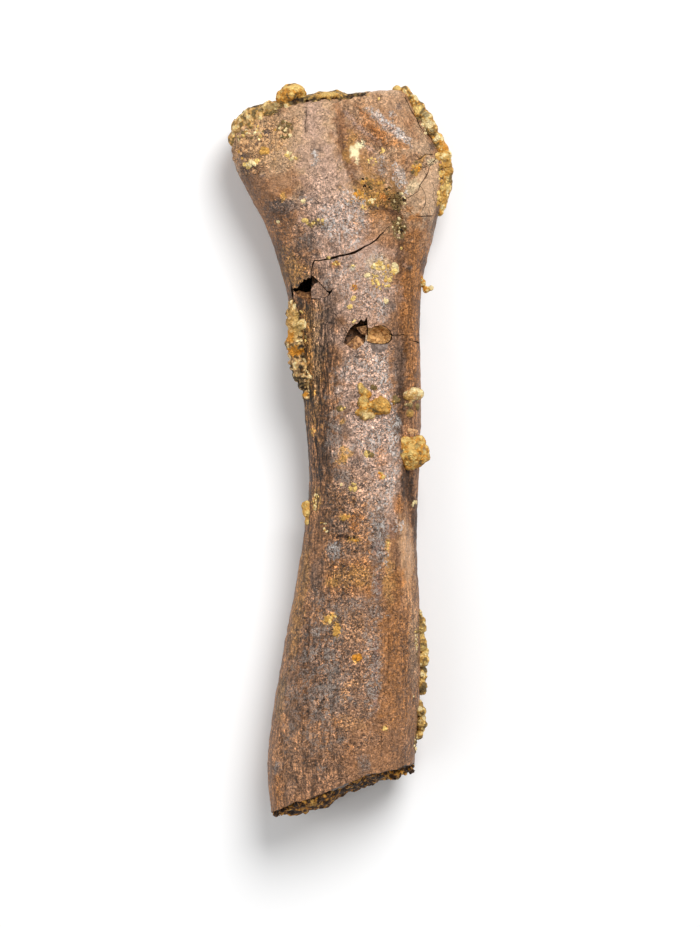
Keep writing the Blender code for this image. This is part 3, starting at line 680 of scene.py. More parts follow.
STAINS = patches(
    # joint end
    ("tan", (-3, 70, 24, 15, 0.9)),
    ("ochre", (-19, 71, 6, 7, 0.22)),
    # The umber and amber in the next three rows, down the left flank, are partly the bone's own darker stain and
    # partly painted shade, where the flank turns away from the light
    ("umber", (-16.5, 52, 4, 13, 0.66, 25)),
    ("amber", (-17, 53, 4, 12, 0.45, 25)),
    ("umber", (-16.5, 52, 3.4, 11, 0.15, 25), (-12, 44, 2.6, 6, 0.35, 15), (-21.5, 62, 2, 4, 0.5, 25)),
    ("brown", (-14, 60.5, 6.5, 3.6, 0.75)),
    ("pink", (-6, 66, 3.6, 15, 0.6, 2), (-1, 58, 4.5, 10, 0.7, 8), (-4, 52, 5.5, 7, 0.9)),
    ("amber", (-15.5, 49, 2.6, 9, 0.5, 22)),
    ("slate", (-6.6, 67.5, 0.7, 3, 0.5), (-5.2, 68.6, 0.7, 0.9, 0.6), (-8.5, 75, 0.6, 3, 0.45, -5),
        (-17.6, 72.4, 0.9, 0.9, 0.95), (-23.3, 67.5, 0.9, 1.1, 0.95), (-19.8, 70.2, 0.5, 0.5, 0.9)),
    ("violet", (-18.6, 62.9, 0.6, 0.4, 0.54)),
    ("olive", (-13.4, 73.4, 1.7, 1.8, 0.6)),
    # The second of these umber patches, at the foot of the corner crust's lower edge, is a painted shadow
    ("umber", (-15.4, 77.2, 1.6, 0.7, 0.6, 15), (-21.4, 64.7, 2.4, 0.6, 0.8, 18)),
    ("brown", (4.5, 69, 5, 8.5, 0.74, 22)),
    ("umber", (5, 69, 5, 8, 0.12, 22)),
    ("brown", (0.2, 71.5, 1.5, 8, 0.9, 13)),
    ("umber", (-0.2, 70, 0.7, 6, 0.55, 13), (2.2, 63.2, 1, 3.6, 0.45, 16), (0.8, 78, 0.9, 1.6, 0.35)),
    ("moss", (2.2, 71, 1.5, 2.6, 0.75, 10), (0.9, 67.6, 1, 1.8, 0.7), (5.2, 66, 1.2, 3, 0.5, 15)),
    ("brown", (7.4, 71, 2, 1.2, 0.7, -30)),
    ("rust", (12.3, 66.8, 1.7, 2.2, 0.45)),
    ("umber", (12.3, 66.8, 1.4, 1.8, 0.3)),
    ("tan", (10, 78.5, 5, 4.5, 0.5, -30)),
    ("amber", (10.5, 76.6, 6.5, 5, 0.12, -30)),
    ("brown", (10.5, 76.6, 6.5, 5, 0.33, -30)),
    ("copper", (4.3, 79.6, 0.9, 1.8, 0.5)),
    ("brown", (7.4, 76.6, 1.8, 0.7, 0.5, -40), (11.8, 76, 2.2, 0.5, 0.35, -45)),
    ("pink", (10.8, 73.9, 5.4, 1, 0.7, -39), (2.2, 76.2, 3, 0.5, 0.7, -42)),
    ("copper", (4.6, 74.6, 4.2, 0.6, 0.6, -40)),
    ("pink", (5.8, 72.4, 4.6, 0.5, 0.8, -38)),
    ("brown", (8, 70.4, 3.4, 0.5, 0.7, -35)),
    ("pink", (6.4, 68.9, 3, 0.4, 0.7, -30)),
    ("umber", (11.1, 76.4, 0.8, 0.8, 0.5)),
    # Painted highlights: white laid into the glint band of the joint end
    ("painted_highlight", (13.2, 72.2, 1.7, 0.7, 0.4, -35), (8.2, 76.8, 1.1, 0.6, 0.4, -35),
        (13.2, 63.3, 0.8, 1.8, 0.35, 25)),
    ("umber", (3, 76.6, 0.5, 2, 0.4, 20), (6.6, 73.8, 3.4, 0.35, 0.35, -40)),
    ("pink", (-6.9, 76, 1.2, 4.5, 0.6, 3)),
    ("rust", (6, 75.3, 1.2, 3.2, 0.5, 35), (9.5, 71.8, 4, 1, 0.65, -28)),
    ("copper", (8.8, 77.6, 0.9, 1.1, 0.35)),
    ("brown", (9.6, 76.4, 1.4, 0.5, 0.6, -30)),
    ("rust", (12.4, 69.8, 3, 0.7, 0.6, -8)),
    ("tan", (9.5, 66.5, 3.4, 3.4, 0.4)),
    ("moss", (16.6, 63.9, 0.9, 1.4, 0.9), (17.6, 66.2, 2.6, 0.7, 0.8, 38), (7, 58.5, 5, 3.8, 0.9, -15)),
    ("ochre", (3.8, 58.3, 1.1, 0.9, 0.9)),
    ("rust", (9.3, 58, 1, 0.7, 0.8)),
    ("umber", (2.6, 61.4, 0.8, 1.1, 0.7), (9, 55.2, 2.6, 0.9, 0.85, -10), (12.2, 54.6, 1.2, 2.6, 0.7, 10)),
    ("olive", (12.6, 57.6, 1.7, 1.9, 0.8)),
    ("amber", (7.6, 53, 3.4, 1.7, 0.75, 8)),
    ("olive", (12.8, 50.6, 1.7, 2.6, 0.75)),
    ("tan", (18.6, 57, 3.8, 8.5, 0.9, -6)),
    ("cream", (16.2, 60.4, 2.4, 1, 0.35, 40), (20.4, 66.2, 1.2, 0.8, 0.5, 30)),
    ("umber", (21.7, 53.5, 0.9, 4, 0.75, -14)),
    ("slate", (19.6, 51.5, 1.2, 2.6, 0.5), (12.7, 78.6, 0.8, 0.8, 0.75), (20.6, 69.9, 0.8, 1, 0.85),
        (-13.4, 55.9, 3.8, 1.7, 0.85, -6)),
    ("umber", (-14.6, 54.2, 2.6, 1.6, 0.6), (-15.6, 55, 2.4, 5.5, 0.35, 22)),
    ("slate", (-9, 46.4, 2.2, 2.2, 0.4), (-9.6, 58.6, 1, 1.1, 0.6)),
    ("amber", (-13.6, 58.8, 1.7, 1.2, 0.8)),
    ("ochre", (-13.7, 58, 0.5, 0.9, 0.9)),
    ("olive", (-5.6, 51.8, 2.4, 1, 0.5, -5)),
    ("slate", (-4.4, 51.2, 0.7, 0.7, 0.9)),
    # between the joint end and the pit
    ("brown", (-9.6, 46.5, 3.4, 4.5, 0.7, 10)),
    ("slate", (-8, 47.6, 2.2, 1.6, 0.7)),
    ("pink", (2.5, 38, 8.5, 12, 0.85)),
    ("cream", (8.5, 41.5, 3, 3, 0.25)),
    ("rust", (-1.6, 42.4, 1.1, 0.9, 0.55), (2.6, 37.3, 0.8, 0.9, 0.8)),
    ("cream", (2.2, 41.9, 0.5, 0.8, 0.7)),
    ("moss", (-11.6, 41.2, 2.8, 4, 0.7, 20)),
    ("rose", (-10.4, 49.9, 1.3, 1.6, 0.6)),
    ("umber", (-14, 43, 1.4, 7, 0.5, 22)),
    ("amber", (16.2, 34, 2.6, 20, 0.95), (17.6, 45, 2.4, 7, 0.6, -12)),
    ("umber", (13.1, 44.5, 0.9, 6, 0.65)),
    ("brown", (12.6, 40, 0.7, 4, 0.8)),
    ("slate", (15.4, 41.7, 0.6, 0.6, 0.9)),
    ("umber", (18.4, 42.6, 0.7, 2.2, 0.8, -8)),
    ("slate", (11.2, 33, 0.7, 1.6, 0.8), (9.6, 32, 0.7, 2.4, 0.6)),
    ("umber", (17.6, 29, 0.5, 6, 0.6), (12, 27, 0.8, 2.4, 0.5)),
    # left side of the shaft
    ("moss", (-8.6, 20, 4, 15, 0.7)),
    ("tan", (-6, 22, 1, 12, 0.45)),
    ("slate", (-4, 27, 1.8, 7, 0.75, -4)),
    ("umber", (-3.2, 20.5, 2, 3.4, 0.5), (-4.2, 11, 1.8, 8, 0.55)),
    ("brown", (-2, 12, 1.6, 6, 0.8)),
    ("umber", (-9, 2, 2.2, 14, 0.45), (-3.6, -6, 2, 15, 0.6)),
    ("ochre", (-7, 4.3, 0.7, 0.9, 0.8), (-6.1, -11.6, 0.9, 2.6, 0.55), (-6.6, 13.2, 0.5, 0.5, 0.7)),
    # crest
    ("pink", (5, 15, 5.6, 9, 0.95)),
    ("slate", (2.6, 21.2, 1.2, 1.4, 0.7)),
    ("pink", (5.2, 2, 6, 14, 0.9), (10, -6, 3, 10, 0.9, -6)),
    # Painted highlights: this white and the white two rows below, on the crest
    ("painted_highlight", (-0.8, 13.8, 0.7, 0.8, 0.25)),
    ("slate", (0.4, 4.6, 2.6, 1.3, 0.65, -18)),
    ("painted_highlight", (-1.4, 4.8, 0.9, 0.7, 0.15, 20)),
    ("ochre", (0.4, -0.5, 1.4, 1.3, 0.75), (-0.1, -2.4, 1.3, 0.9, 0.75, 20), (-0.2, 6.3, 0.6, 0.6, 0.8)),
    ("slate", (3, -2.8, 1.5, 1.6, 0.6)),
    ("rust", (8.6, -1.4, 1.6, 2.4, 0.45)),
    ("slate", (0.2, -6.2, 2.2, 2.2, 0.65)),
    ("olive", (2.2, -8.6, 1.2, 1.2, 0.6)),
    ("umber", (2, -11.3, 1.6, 1.2, 0.65)),
    ("rust", (8.6, -6.2, 1, 0.9, 0.8)),
    ("slate", (12.9, 19, 1.6, 5.5, 0.75)),
    # These umber strips lie in the groove right of the crest: painted shade in it
    ("umber", (13.5, 12.5, 1, 2.6, 0.9), (12.9, 6.5, 1.1, 5, 0.75, -8)),
    ("rose", (16, 5.5, 1.8, 2.2, 0.5)),
    # Painted shade in the same groove, further down
    ("umber", (14.9, -8, 1.5, 4.4, 1, 8), (16.4, -15, 0.9, 6.5, 0.95, 6)),
    ("amber", (17.8, -8, 0.7, 5, 0.8)),
    ("rust", (12.6, -12.5, 1.2, 2.2, 0.5)),
    # middle of the shaft
    ("copper", (2, -14, 6, 9, 0.25)),
    ("ochre", (0.5, -15.4, 1.3, 0.8, 0.95, -8)),
    ("rust", (2.9, -15.3, 2, 0.9, 0.75)),
    ("umber", (-1, -13.6, 1.6, 0.7, 0.7, -25)),
    ("slate", (-0.4, -17.6, 2.4, 1.4, 0.6)),
    ("rust", (2.6, -17.8, 1, 1.2, 0.7)),
    ("umber", (-0.6, -19.9, 1.3, 0.45, 1)),
    ("moss", (2.5, -20.5, 1.5, 0.7, 1, -8)),
    ("slate", (-2, -23.2, 1.7, 1.9, 0.8), (2.5, -23, 2.4, 2, 0.35), (8, -20, 2.4, 6.5, 0.75)),
    ("violet", (8, -22, 1.1, 1.7, 0.3), (11, -18, 1.3, 2.1, 0.27)),
    ("ochre", (10.2, -21.4, 0.5, 1.6, 0.7)),
    ("amber", (5.9, -20, 0.5, 5, 0.6)),
    ("copper", (14.9, -27.5, 1.9, 10.5, 0.9, 5)),
    ("tan", (14.6, -23, 1.8, 6.5, 0.4, 5)),
    ("umber", (16.9, -24, 0.5, 8, 0.6, 4)),
    ("rose", (12.4, -24.5, 0.8, 3, 0.8, 4)),
    ("rust", (13, -29.6, 1.3, 2.2, 0.5), (2, -30, 5.8, 5, 0.4)),
    ("ochre", (2, -29, 4.6, 2.2, 0.4), (-2.6, -30.3, 1.4, 1, 0.6)),
    ("umber", (0.2, -27, 1.2, 1.2, 0.7)),
    ("moss", (10.6, -30, 1.6, 5, 0.6)),
    ("violet", (8, -31, 0.7, 2.8, 0.51)),
    ("slate", (7.8, -34.5, 1, 1.6, 0.7), (2.4, -35, 4, 1.2, 0.6), (-6, -29, 1.6, 5, 0.65, -6),
        (-8.6, -28.5, 0.8, 3.6, 0.75, -6)),
    ("moss", (-9.6, -31, 1.4, 10, 0.45, -8)),
    # lower shaft
    ("rose", (0, -52, 9, 20, 0.45)),
    ("pink", (1, -48, 6, 14, 0.14)),
    ("amber", (12.2, -48, 3.4, 16, 0.85)),
    ("tan", (16.2, -44, 1, 9, 0.45)),
    ("slate", (7.4, -37.2, 2, 1.2, 0.63)),
    ("copper", (2.2, -41, 3.2, 3.6, 0.4)),
    ("slate", (6.2, -43.6, 0.8, 1.1, 0.54)),
    ("violet", (7.4, -48, 0.6, 4.2, 0.45), (7.4, -57, 0.6, 2.8, 0.42)),
    ("slate", (6.8, -52.4, 0.7, 0.9, 0.63)),
    ("ochre", (-3, -38.4, 1.7, 0.9, 0.95, 15), (-4.2, -39.8, 1.1, 0.7, 0.6), (-1.5, -40.8, 0.75, 2.2, 1)),
    ("slate", (-6, -42.4, 0.9, 1.6, 0.77), (-3.6, -46, 1.4, 1.2, 0.68, -30), (-6.8, -50, 1.2, 3.1, 0.45, -10),
        (-2, -51, 1.1, 1.6, 0.54), (-3, -54.6, 2, 1.4, 0.72), (-6.5, -55.4, 0.8, 1.6, 0.68),
        (-1.8, -58.6, 1.6, 1.6, 0.72)),
    ("ochre", (3.1, -47.4, 1, 1, 1)),
    ("copper", (2.6, -53.4, 1.7, 1.1, 0.85)),
    ("rose", (-0.4, -48.6, 1.8, 1.4, 0.7)),
    ("copper", (0.2, -55.6, 0.9, 2.2, 0.8)),
    ("slate", (3, -57.6, 2, 1.2, 0.41)),
    ("copper", (1.2, -62.2, 3, 1.7, 0.75, -8)),
    ("rust", (-1.5, -62.4, 1, 1, 0.4)),
    ("slate", (-6, -60.8, 1.4, 1.1, 0.63), (-11.8, -62, 1.1, 7, 0.54), (-12.4, -52, 1.1, 4.7, 0.41, -8)),
    ("olive", (-14.3, -57, 0.9, 6, 0.4, -5)),
    ("umber", (-8.4, -45, 0.6, 7, 0.6, -5), (-7.6, -48, 4, 11, 0.4), (13, -50, 4, 14, 0.14)),
    ("moss", (-11, -42, 1.6, 7, 0.4, -10)),
    ("ochre", (9.6, -63.5, 0.8, 0.6, 0.9)),
    ("rose", (11, -68, 5.5, 5, 0.8)),
    ("amber", (12, -66, 5, 8, 0.3)),
    ("slate", (4.6, -72, 1.5, 1.7, 0.72)),
    ("rust", (1.4, -70, 1.6, 3, 0.35)),
    ("rose", (-4.8, -74, 8.5, 5, 0.8, 8)),
    ("copper", (-12, -70, 4.5, 11, 0.2, -4)),
    ("rose", (-7.5, -68.5, 2.6, 2, 0.6)),
    ("slate", (-2, -67, 1.2, 1.4, 0.45), (-12.2, -77.5, 1.1, 2.3, 0.45)),
    ("amber", (-15.2, -79, 1.3, 5, 0.9, -3)),
    ("slate", (-15.4, -73.4, 0.9, 1.2, 0.45)),
    ("cream", (3.5, 69.7, 1.3, 1, 1, 25), (2.6, 68.4, 1, 1.4, 1), (3.1, 66.6, 0.4, 1.3, 0.85, 8)),
)

# The glints mark is where the bone is glossier and where painted highlights of white spots and lines are laid
# into its colour. The crusty mark is where painted light brightens the middles of the crust's cells and painted
# shade darkens the gaps between them.
MARKS = patches(
    ("gloss_and_painted_glints", (10.8, 73.9, 5.6, 1.05, 1, -39), (13.2, 72.2, 2.4, 1.1, 1, -35), (8.2, 76.8, 1.6, 0.9, 1, -35),
        (13, 62, 1.4, 3.8, 0.95, 22), (9, 65.4, 1.2, 2.4, 0.6, 10), (6.6, 77, 1, 2, 0.8, 30),
        (11.2, 77, 0.9, 1, 1), (-6.4, 66.5, 1, 2.5, 0.7), (1.8, 56.6, 3.2, 2.6, 0.75), (0, 52.5, 5.5, 6, 0.6),
        (-8.5, 57, 1.6, 1.2, 0.6), (3, 40, 7.5, 9, 0.42), (8.4, 43.8, 0.9, 0.8, 1), (9, 33, 1.4, 4, 0.6),
        (5.4, 18.5, 5.4, 5.5, 0.55), (8.5, 19.5, 2, 3, 1), (7, 3, 5.4, 7, 0.5), (9.6, 14.6, 1.3, 3.6, 0.9),
        (6.4, 1.4, 1.8, 2, 0.6), (11.2, 5, 1.6, 5, 1), (5, 1, 1.2, 1, 0.9), (11.4, -6, 1.5, 6.5, 1, -12),
        (7.6, -13, 2.6, 8, 0.45), (8.7, -20, 1.6, 7.5, 0.6), (12.8, -17.6, 1.4, 1.6, 0.8),
        (14.6, -22, 0.8, 4.5, 0.25, 4), (9, 17, 1.2, 4, 0.6), (-2, -23.2, 1.7, 1.9, 0.6), (0, -50, 7, 14, 0.12),
        (7.4, -52, 0.9, 3.6, 0.35), (-3, -63, 2, 1.2, 0.2), (-5, -72.6, 0.9, 1, 0.25)),
    ("specks", (-4, 55, 8, 8, 0.6), (6, 72, 6, 8, 0.45), (-19, 70, 6, 8, 0.4), (5.5, 12, 6, 18, 0.6),
        (2, -16, 6.5, 14, 0.9), (0.5, -46, 9, 20, 0.8), (-4, -50, 4, 12, 0.9), (6.4, -49, 2, 9, 0.9),
        (-8, -70, 8, 10, 0.4), (12.5, -50, 4, 16, 0.35), (-13, 48, 5, 9, 0.5, 20),
        (-13.4, 55.9, 3.8, 1.9, 0.9, -6)),
    ("crusty", (-13.4, 55.9, 3.8, 1.9, 0.8, -6), (-19.6, 71.5, 6.2, 7, 1), (-13.2, 73.2, 2.4, 2.6, 1),
        (-12.5, 66.5, 3.5, 3, 0.6), (-21.5, 64.5, 2.5, 2.5, 0.8, 20), (7, 58.5, 5.4, 4.2, 1, -15),
        (12.6, 54, 2, 5.5, 0.9), (17.6, 66, 3.4, 2.4, 0.8, 38), (20, 73, 2.2, 6.5, 0.8, 30),
        (8.5, 70.5, 5.5, 4, 0.5, -30), (8.5, 40.5, 3.6, 4.6, 0.5), (1, -13.5, 4, 8.5, 0.7),
        (1.5, -30, 5, 5.5, 0.9), (1, -54, 4.6, 12, 0.6), (-9.5, 22, 2, 13, 0.5)),
    ("curls", (-4, -50, 4.5, 13, 0.75), (-7.5, -56, 3.5, 9, 0.5), (6.6, -48, 2, 11, 0.9),
        (7.6, -31.5, 1, 4.5, 1), (7, -37.6, 2.6, 1.4, 1), (-1.6, -23, 2.2, 2.2, 0.8), (2, -36, 6, 2, 0.6),
        (-5.8, -42, 1.6, 2.2, 1), (1.8, -57, 2.8, 2, 0.6), (-5, -66, 5, 3, 0.5), (-12, -58, 2, 10, 0.45, -4),
        (4.6, -71.5, 1.6, 2, 0.6), (-4.6, -72.8, 1.4, 1.4, 0.8), (-15, -72.6, 1, 1.4, 0.8),
        (-8.2, 47.4, 2, 1.8, 0.7), (-2, 8, 2, 10, 0.6), (8, -20, 2.2, 6, 0.6), (0.2, -5.5, 2.4, 3, 0.6)),
    ("clean", (3, 68.9, 1.5, 2, 1, 10), (18.6, 60, 2.6, 3.4, 0.6, 20), (11, 77, 3.4, 3, 0.3, -30),
        (-7, 68, 13, 12, 0.28), (4.6, 45, 3, 3, 0.45, -30), (12.6, -56, 3, 10, 0.2),
        (14.6, -25, 1.8, 9, 0.6, 4)),
    ("rusty", (7, 58, 5, 4, 0.9), (-18, 70, 7, 8, 0.6), (3, 68, 5, 9, 0.4), (4, 37, 7, 10, 0.45),
        (6, 16, 5, 6, 0.4), (6, -4, 5, 8, 0.5), (1, -29, 6, 5, 0.9), (1, -56, 4, 10, 0.45)),
)


def painted(points, facing, palette, base, stains):
    """A colour for each point: the base, with the stains laid over its upper face in turn."""
    colours = np.tile(np.array(palette[base]), (len(points), 1))
    upper = upper_side(facing)
    for stain in stains:
        reached, strength = lay_patch(points, stain)
        mask = (strength * upper[reached])[:, None]
        colours[reached] += mask * (np.array(palette[stain.kind]) - colours[reached])
    return colours


def palette_of(settings):
    """The colours of a property group, by their names."""
    names = [n for n, p in settings.bl_rna.properties.items() if getattr(p, "array_length", 0) == 3]
    return {name: tuple(getattr(settings, name)) for name in names}


# Finishes


class Wire:
    """A shader value. Python's operators on it add Math nodes."""

    def __init__(self, finish, socket):
        self.finish = finish
        self.socket = socket

    def maths(self, operation, first, second):
        return self.finish.node("ShaderNodeMath", {"operation": operation}, {0: first, 1: second})

    def __add__(self, other):
        return self.maths("ADD", self, other)

    def __radd__(self, other):
        return self.maths("ADD", other, self)

    def __sub__(self, other):
        return self.maths("SUBTRACT", self, other)

    def __rsub__(self, other):
        return self.maths("SUBTRACT", other, self)

    def __mul__(self, other):
        return self.maths("MULTIPLY", self, other)

    def __rmul__(self, other):
        return self.maths("MULTIPLY", other, self)


class Finish:
    """A material and the nodes that make its look. Sizes are in millimetres."""

    # How far apart the patterns of two noises are taken, and how far the edges of cells wind
    pattern_step, swirl = 17.3, 0.35

    def __init__(self, name):
        self.material = bpy.data.materials.new(name)
        self.material.use_nodes = True
        self.tree = self.material.node_tree
        self.tree.nodes.clear()
        self.patterns = 0
        place = self.node("ShaderNodeTexCoord", output="Object")
        self.place = self.node("ShaderNodeVectorMath", {"operation": "SCALE"}, {0: place, "Scale": 1 / MM})

    def node(self, kind, settings=None, inputs=None, output=0):
        """Adds a node of a kind, makes its settings, feeds its inputs and gives one output."""
        made = self.tree.nodes.new(kind)
        for name, value in (settings or {}).items():
            setattr(made, name, value)
        for key, value in (inputs or {}).items():
            if isinstance(value, Wire):
                self.tree.links.new(value.socket, made.inputs[key])
            else:
                made.inputs[key].default_value = value
        return Wire(self, made.outputs[output]) if made.outputs else None

    def noise(self, size, detail=2.0, roughness=0.5, distortion=0.0):
        """Noise from 0 to 1, another pattern each time. Size is one number, or one along each axis."""
        self.patterns += 1
        shares = tuple(1 / s for s in (size if isinstance(size, tuple) else (size,) * 3))
        where = self.node("ShaderNodeVectorMath", {"operation": "MULTIPLY_ADD"}, {0: self.place, 1: shares})
        where.socket.node.inputs[2].default_value = (self.pattern_step * self.patterns,) * 3
        inputs = {"Vector": where, "Scale": 1, "Detail": detail, "Roughness": roughness}
        return self.node("ShaderNodeTexNoise", None, inputs | {"Distortion": distortion})

    def cell_edges(self, size):
        """How far a place is from the winding edge of its cell, in cells like grains that lie close."""
        self.patterns += 1
        inputs = {"Vector": self.place, "Scale": 0.9 / size, "Detail": 2.0}
        wander = self.node("ShaderNodeTexNoise", None, inputs, "Color")
        where = self.node("ShaderNodeVectorMath", {"operation": "MULTIPLY_ADD"}, {0: wander, 2: self.place})
        where.socket.node.inputs[1].default_value = (2 * self.swirl * size,) * 3
        settings, inputs = {"feature": "DISTANCE_TO_EDGE"}, {"Vector": where, "Scale": 1 / size}
        return self.node("ShaderNodeTexVoronoi", settings, inputs, "Distance")

    def between(self, value, low, high):
        """0 at low, 1 at high, and a smooth change between."""
        inputs = {"Value": value, "From Min": low, "From Max": high}
        return self.node("ShaderNodeMapRange", {"interpolation_type": "SMOOTHSTEP"}, inputs)

    def held(self, name, output="Fac"):
        """A number or a colour that the piece holds for its points."""
        return self.node("ShaderNodeAttribute", {"attribute_name": name}, None, output)

    def mix(self, first, second, share, blend="MIX"):
        """A colour between two. Each is a Wire or a tuple of three."""
        settings = {"data_type": "RGBA", "blend_type": blend}
        feeds = [c if isinstance(c, Wire) else (*c, 1) for c in (first, second)]
        return self.node("ShaderNodeMix", settings, {0: share, 6: feeds[0], 7: feeds[1]}, 2)

    def shade(self, colour, amount):
        """The colour made darker or brighter by a factor that a value gives."""
        grey = self.node("ShaderNodeCombineXYZ", None, {0: amount, 1: amount, 2: amount})
        return self.mix(colour, grey, 1.0, "MULTIPLY")

    def ridges(self, size, width):
        """1 on the lines of a maze, 0 between them."""
        level = self.noise(size, 3.0, 0.7, 0.4)
        away = self.node("ShaderNodeMath", {"operation": "ABSOLUTE"}, {0: level - 0.5})
        return self.between(away, width, 0.0)

    def bump(self, height, distance):
        return self.node("ShaderNodeBump", None, {"Height": height, "Distance": distance * MM})

    def surface(self, colour, roughness, normal, specular):
        """Joins the look to the material's output."""
        feeds = {
            "Base Color": colour if isinstance(colour, Wire) else (*colour, 1),
            "Roughness": roughness,
            "Specular IOR Level": specular,
        }
        if normal:
            feeds["Normal"] = normal
        shader = self.node("ShaderNodeBsdfPrincipled", None, feeds)
        self.node("ShaderNodeOutputMaterial", None, {"Surface": shader})
        return self.material


# What the bone holds for its points, apart from their colour
HELD = ("fibre", "gloss_and_painted_glints", "specks", "rusty", "crusty", "clean", "curls")


def bone_finish(settings):
    """Mineralised bone: stained, mottled, fibrous along the shaft and glossy along the crest, with painted
    highlights along the crest and the joint end and painted shade in the gaps of its crust.
    """
    finish = Finish("bone_cortex")
    palette = palette_of(settings)
    fibre, gloss_and_painted_glints, specks, rusty, crusty, clean, curled = (finish.held(kind) for kind in HELD)
    plain = 1 - clean
    fibre = fibre * (0.3 + 0.7 * plain)
    gloss_and_painted_glints = finish.between(gloss_and_painted_glints, 0.05, 0.90)
    broad = finish.noise(4.5, 3.0, 0.6, 0.8)
    mottle = finish.between(finish.noise(2.0, 4.0, 0.65, 1.6), 0.40, 0.60)
    speckle = finish.between(finish.noise(0.75, 3.0, 0.68, 1.2), 0.40, 0.60)
    fine = finish.between(finish.noise(0.45, 2.0, 0.6, 0.8), 0.40, 0.60)
    fibres = finish.between(finish.noise((0.32, 2.2, 0.32), 3.0, 0.62, 0.7), 0.40, 0.58)
    wide_fibres = finish.between(finish.noise((1.2, 7.0, 1.2), 4.0, 0.6, 0.9), 0.38, 0.62)
    colour = finish.shade(finish.held("tint", "Color"), 0.80 + 0.48 * broad)
    warm = finish.between(finish.noise(1.1, 3.0, 0.7, 1.4), 0.55, 0.63) * plain
    colour = finish.mix(colour, palette["copper"], warm * (0.10 + 0.75 * rusty))
    grey = finish.between(finish.noise(1.4, 5.0, 0.72, 1.8), 0.53, 0.59) * plain
    colour = finish.mix(colour, palette["slate"], grey * (0.05 + 0.42 * specks))
    coarse = 0.20 + 0.40 * specks + 0.34 * gloss_and_painted_glints + 0.30 * fibre
    colour = finish.shade(colour, 1 + plain * coarse * (mottle - 0.45))
    colour = finish.shade(colour, 1.12 - 0.95 * (1 - fibres) * fibre)
    colour = finish.shade(colour, 1 + 1.5 * (wide_fibres - 0.5) * fibre)
    colour = finish.shade(colour, 1 + plain * (0.25 + 0.86 * specks + 0.40 * gloss_and_painted_glints) * (speckle - 0.45))
    grain = 0.42 + 0.75 * specks + 0.62 * fibre + 0.3 * gloss_and_painted_glints
    colour = finish.shade(colour, 1 + plain * grain * (fine - 0.5))
    dark = finish.between(finish.noise(0.95, 4.0, 0.72, 1.8), 0.57, 0.62) * plain
    colour = finish.shade(colour, 1 - dark * (0.28 + 0.55 * specks))
    maze = finish.ridges(1.15, 0.045) * plain
    colour = finish.shade(colour, 1 - maze * (0.26 + 0.32 * specks))
    # Where the crust lies, painted light brightens the middle of each cell and painted shade darkens the gaps
    # between cells
    edge = finish.cell_edges(0.85)
    gaps = finish.between(edge, 0.11, 0.0) * crusty
    colour = finish.shade(colour, 1 + 0.30 * crusty * finish.between(edge, 0.0, 0.35))
    colour = finish.shade(colour, 1 - 0.62 * gaps)
    curls = finish.between(finish.noise(2.6, 4.0, 0.7, 1.0), 0.45, 0.54) * curled
    colour = finish.mix(colour, palette["slate"], 0.55 * curls)
    colour = finish.mix(colour, palette["grey"], finish.ridges(0.95, 0.055) * curls)
    # Painted highlights: white spots and thin white lines laid into the colour, strongest where the glints mark
    # lies and faint where the specks lie
    pale = finish.between(finish.noise((1.05, 1.6, 1.05), 5.0, 0.75, 1.4), 0.53, 0.57)
    painted_sparkle = finish.ridges(0.75, 0.04)
    colour = finish.mix(colour, palette["painted_highlight"], pale * (0.02 + 0.80 * gloss_and_painted_glints))
    colour = finish.mix(colour, palette["painted_highlight"], painted_sparkle * (0.02 + 0.45 * gloss_and_painted_glints + 0.14 * specks))
    roughness = 0.42 - 0.14 * gloss_and_painted_glints + 0.10 * speckle
    height = 0.35 * speckle + 0.25 * fine + 0.7 * mottle + 0.9 * fibres * fibre - 0.9 * dark - 0.5 * maze
    height = height + 0.7 * broad + 1.6 * crusty * finish.between(edge, 0.0, 0.4) + 0.5 * pale * gloss_and_painted_glints
    return finish.surface(colour, roughness, finish.bump(height, 0.20), 0.35)


def fracture_finish(name, dark, light):
    """Bone that broke after it turned to stone."""
    finish = Finish(name)
    swirls = finish.noise(1.9, 4.0, 0.6, 2.4)
    share = finish.between(swirls, 0.38, 0.60)
    lines = finish.ridges(2.0, 0.035)
    colour = finish.shade(finish.mix(dark, light, share), 1 - 0.25 * lines)
    normal = finish.bump(share + 0.5 * finish.noise(0.6, 3.0, 0.6) - 0.2 * lines, 0.2)
    return finish.surface(colour, 0.42, normal, 0.5)


FRACTURES = {
    # The near-black end of dark is painted shade deep in the hole and the marrow; its other end is the brown of
    # the broken bone
    "dark": ((0.022, 0.011, 0.006), (0.16, 0.072, 0.028)),
    "walnut": ((0.035, 0.015, 0.006), (0.20, 0.085, 0.030)),
    "brown": ((0.13, 0.048, 0.016), (0.56, 0.27, 0.10)),
    "amber": ((0.30, 0.115, 0.026), (0.80, 0.45, 0.165)),
    "grey": ((0.17, 0.115, 0.09), (0.30, 0.215, 0.175)),
    "pale": ((0.40, 0.26, 0.15), (0.66, 0.48, 0.30)),
    "crack": ((0.045, 0.022, 0.011), (0.28, 0.135, 0.06)),
}


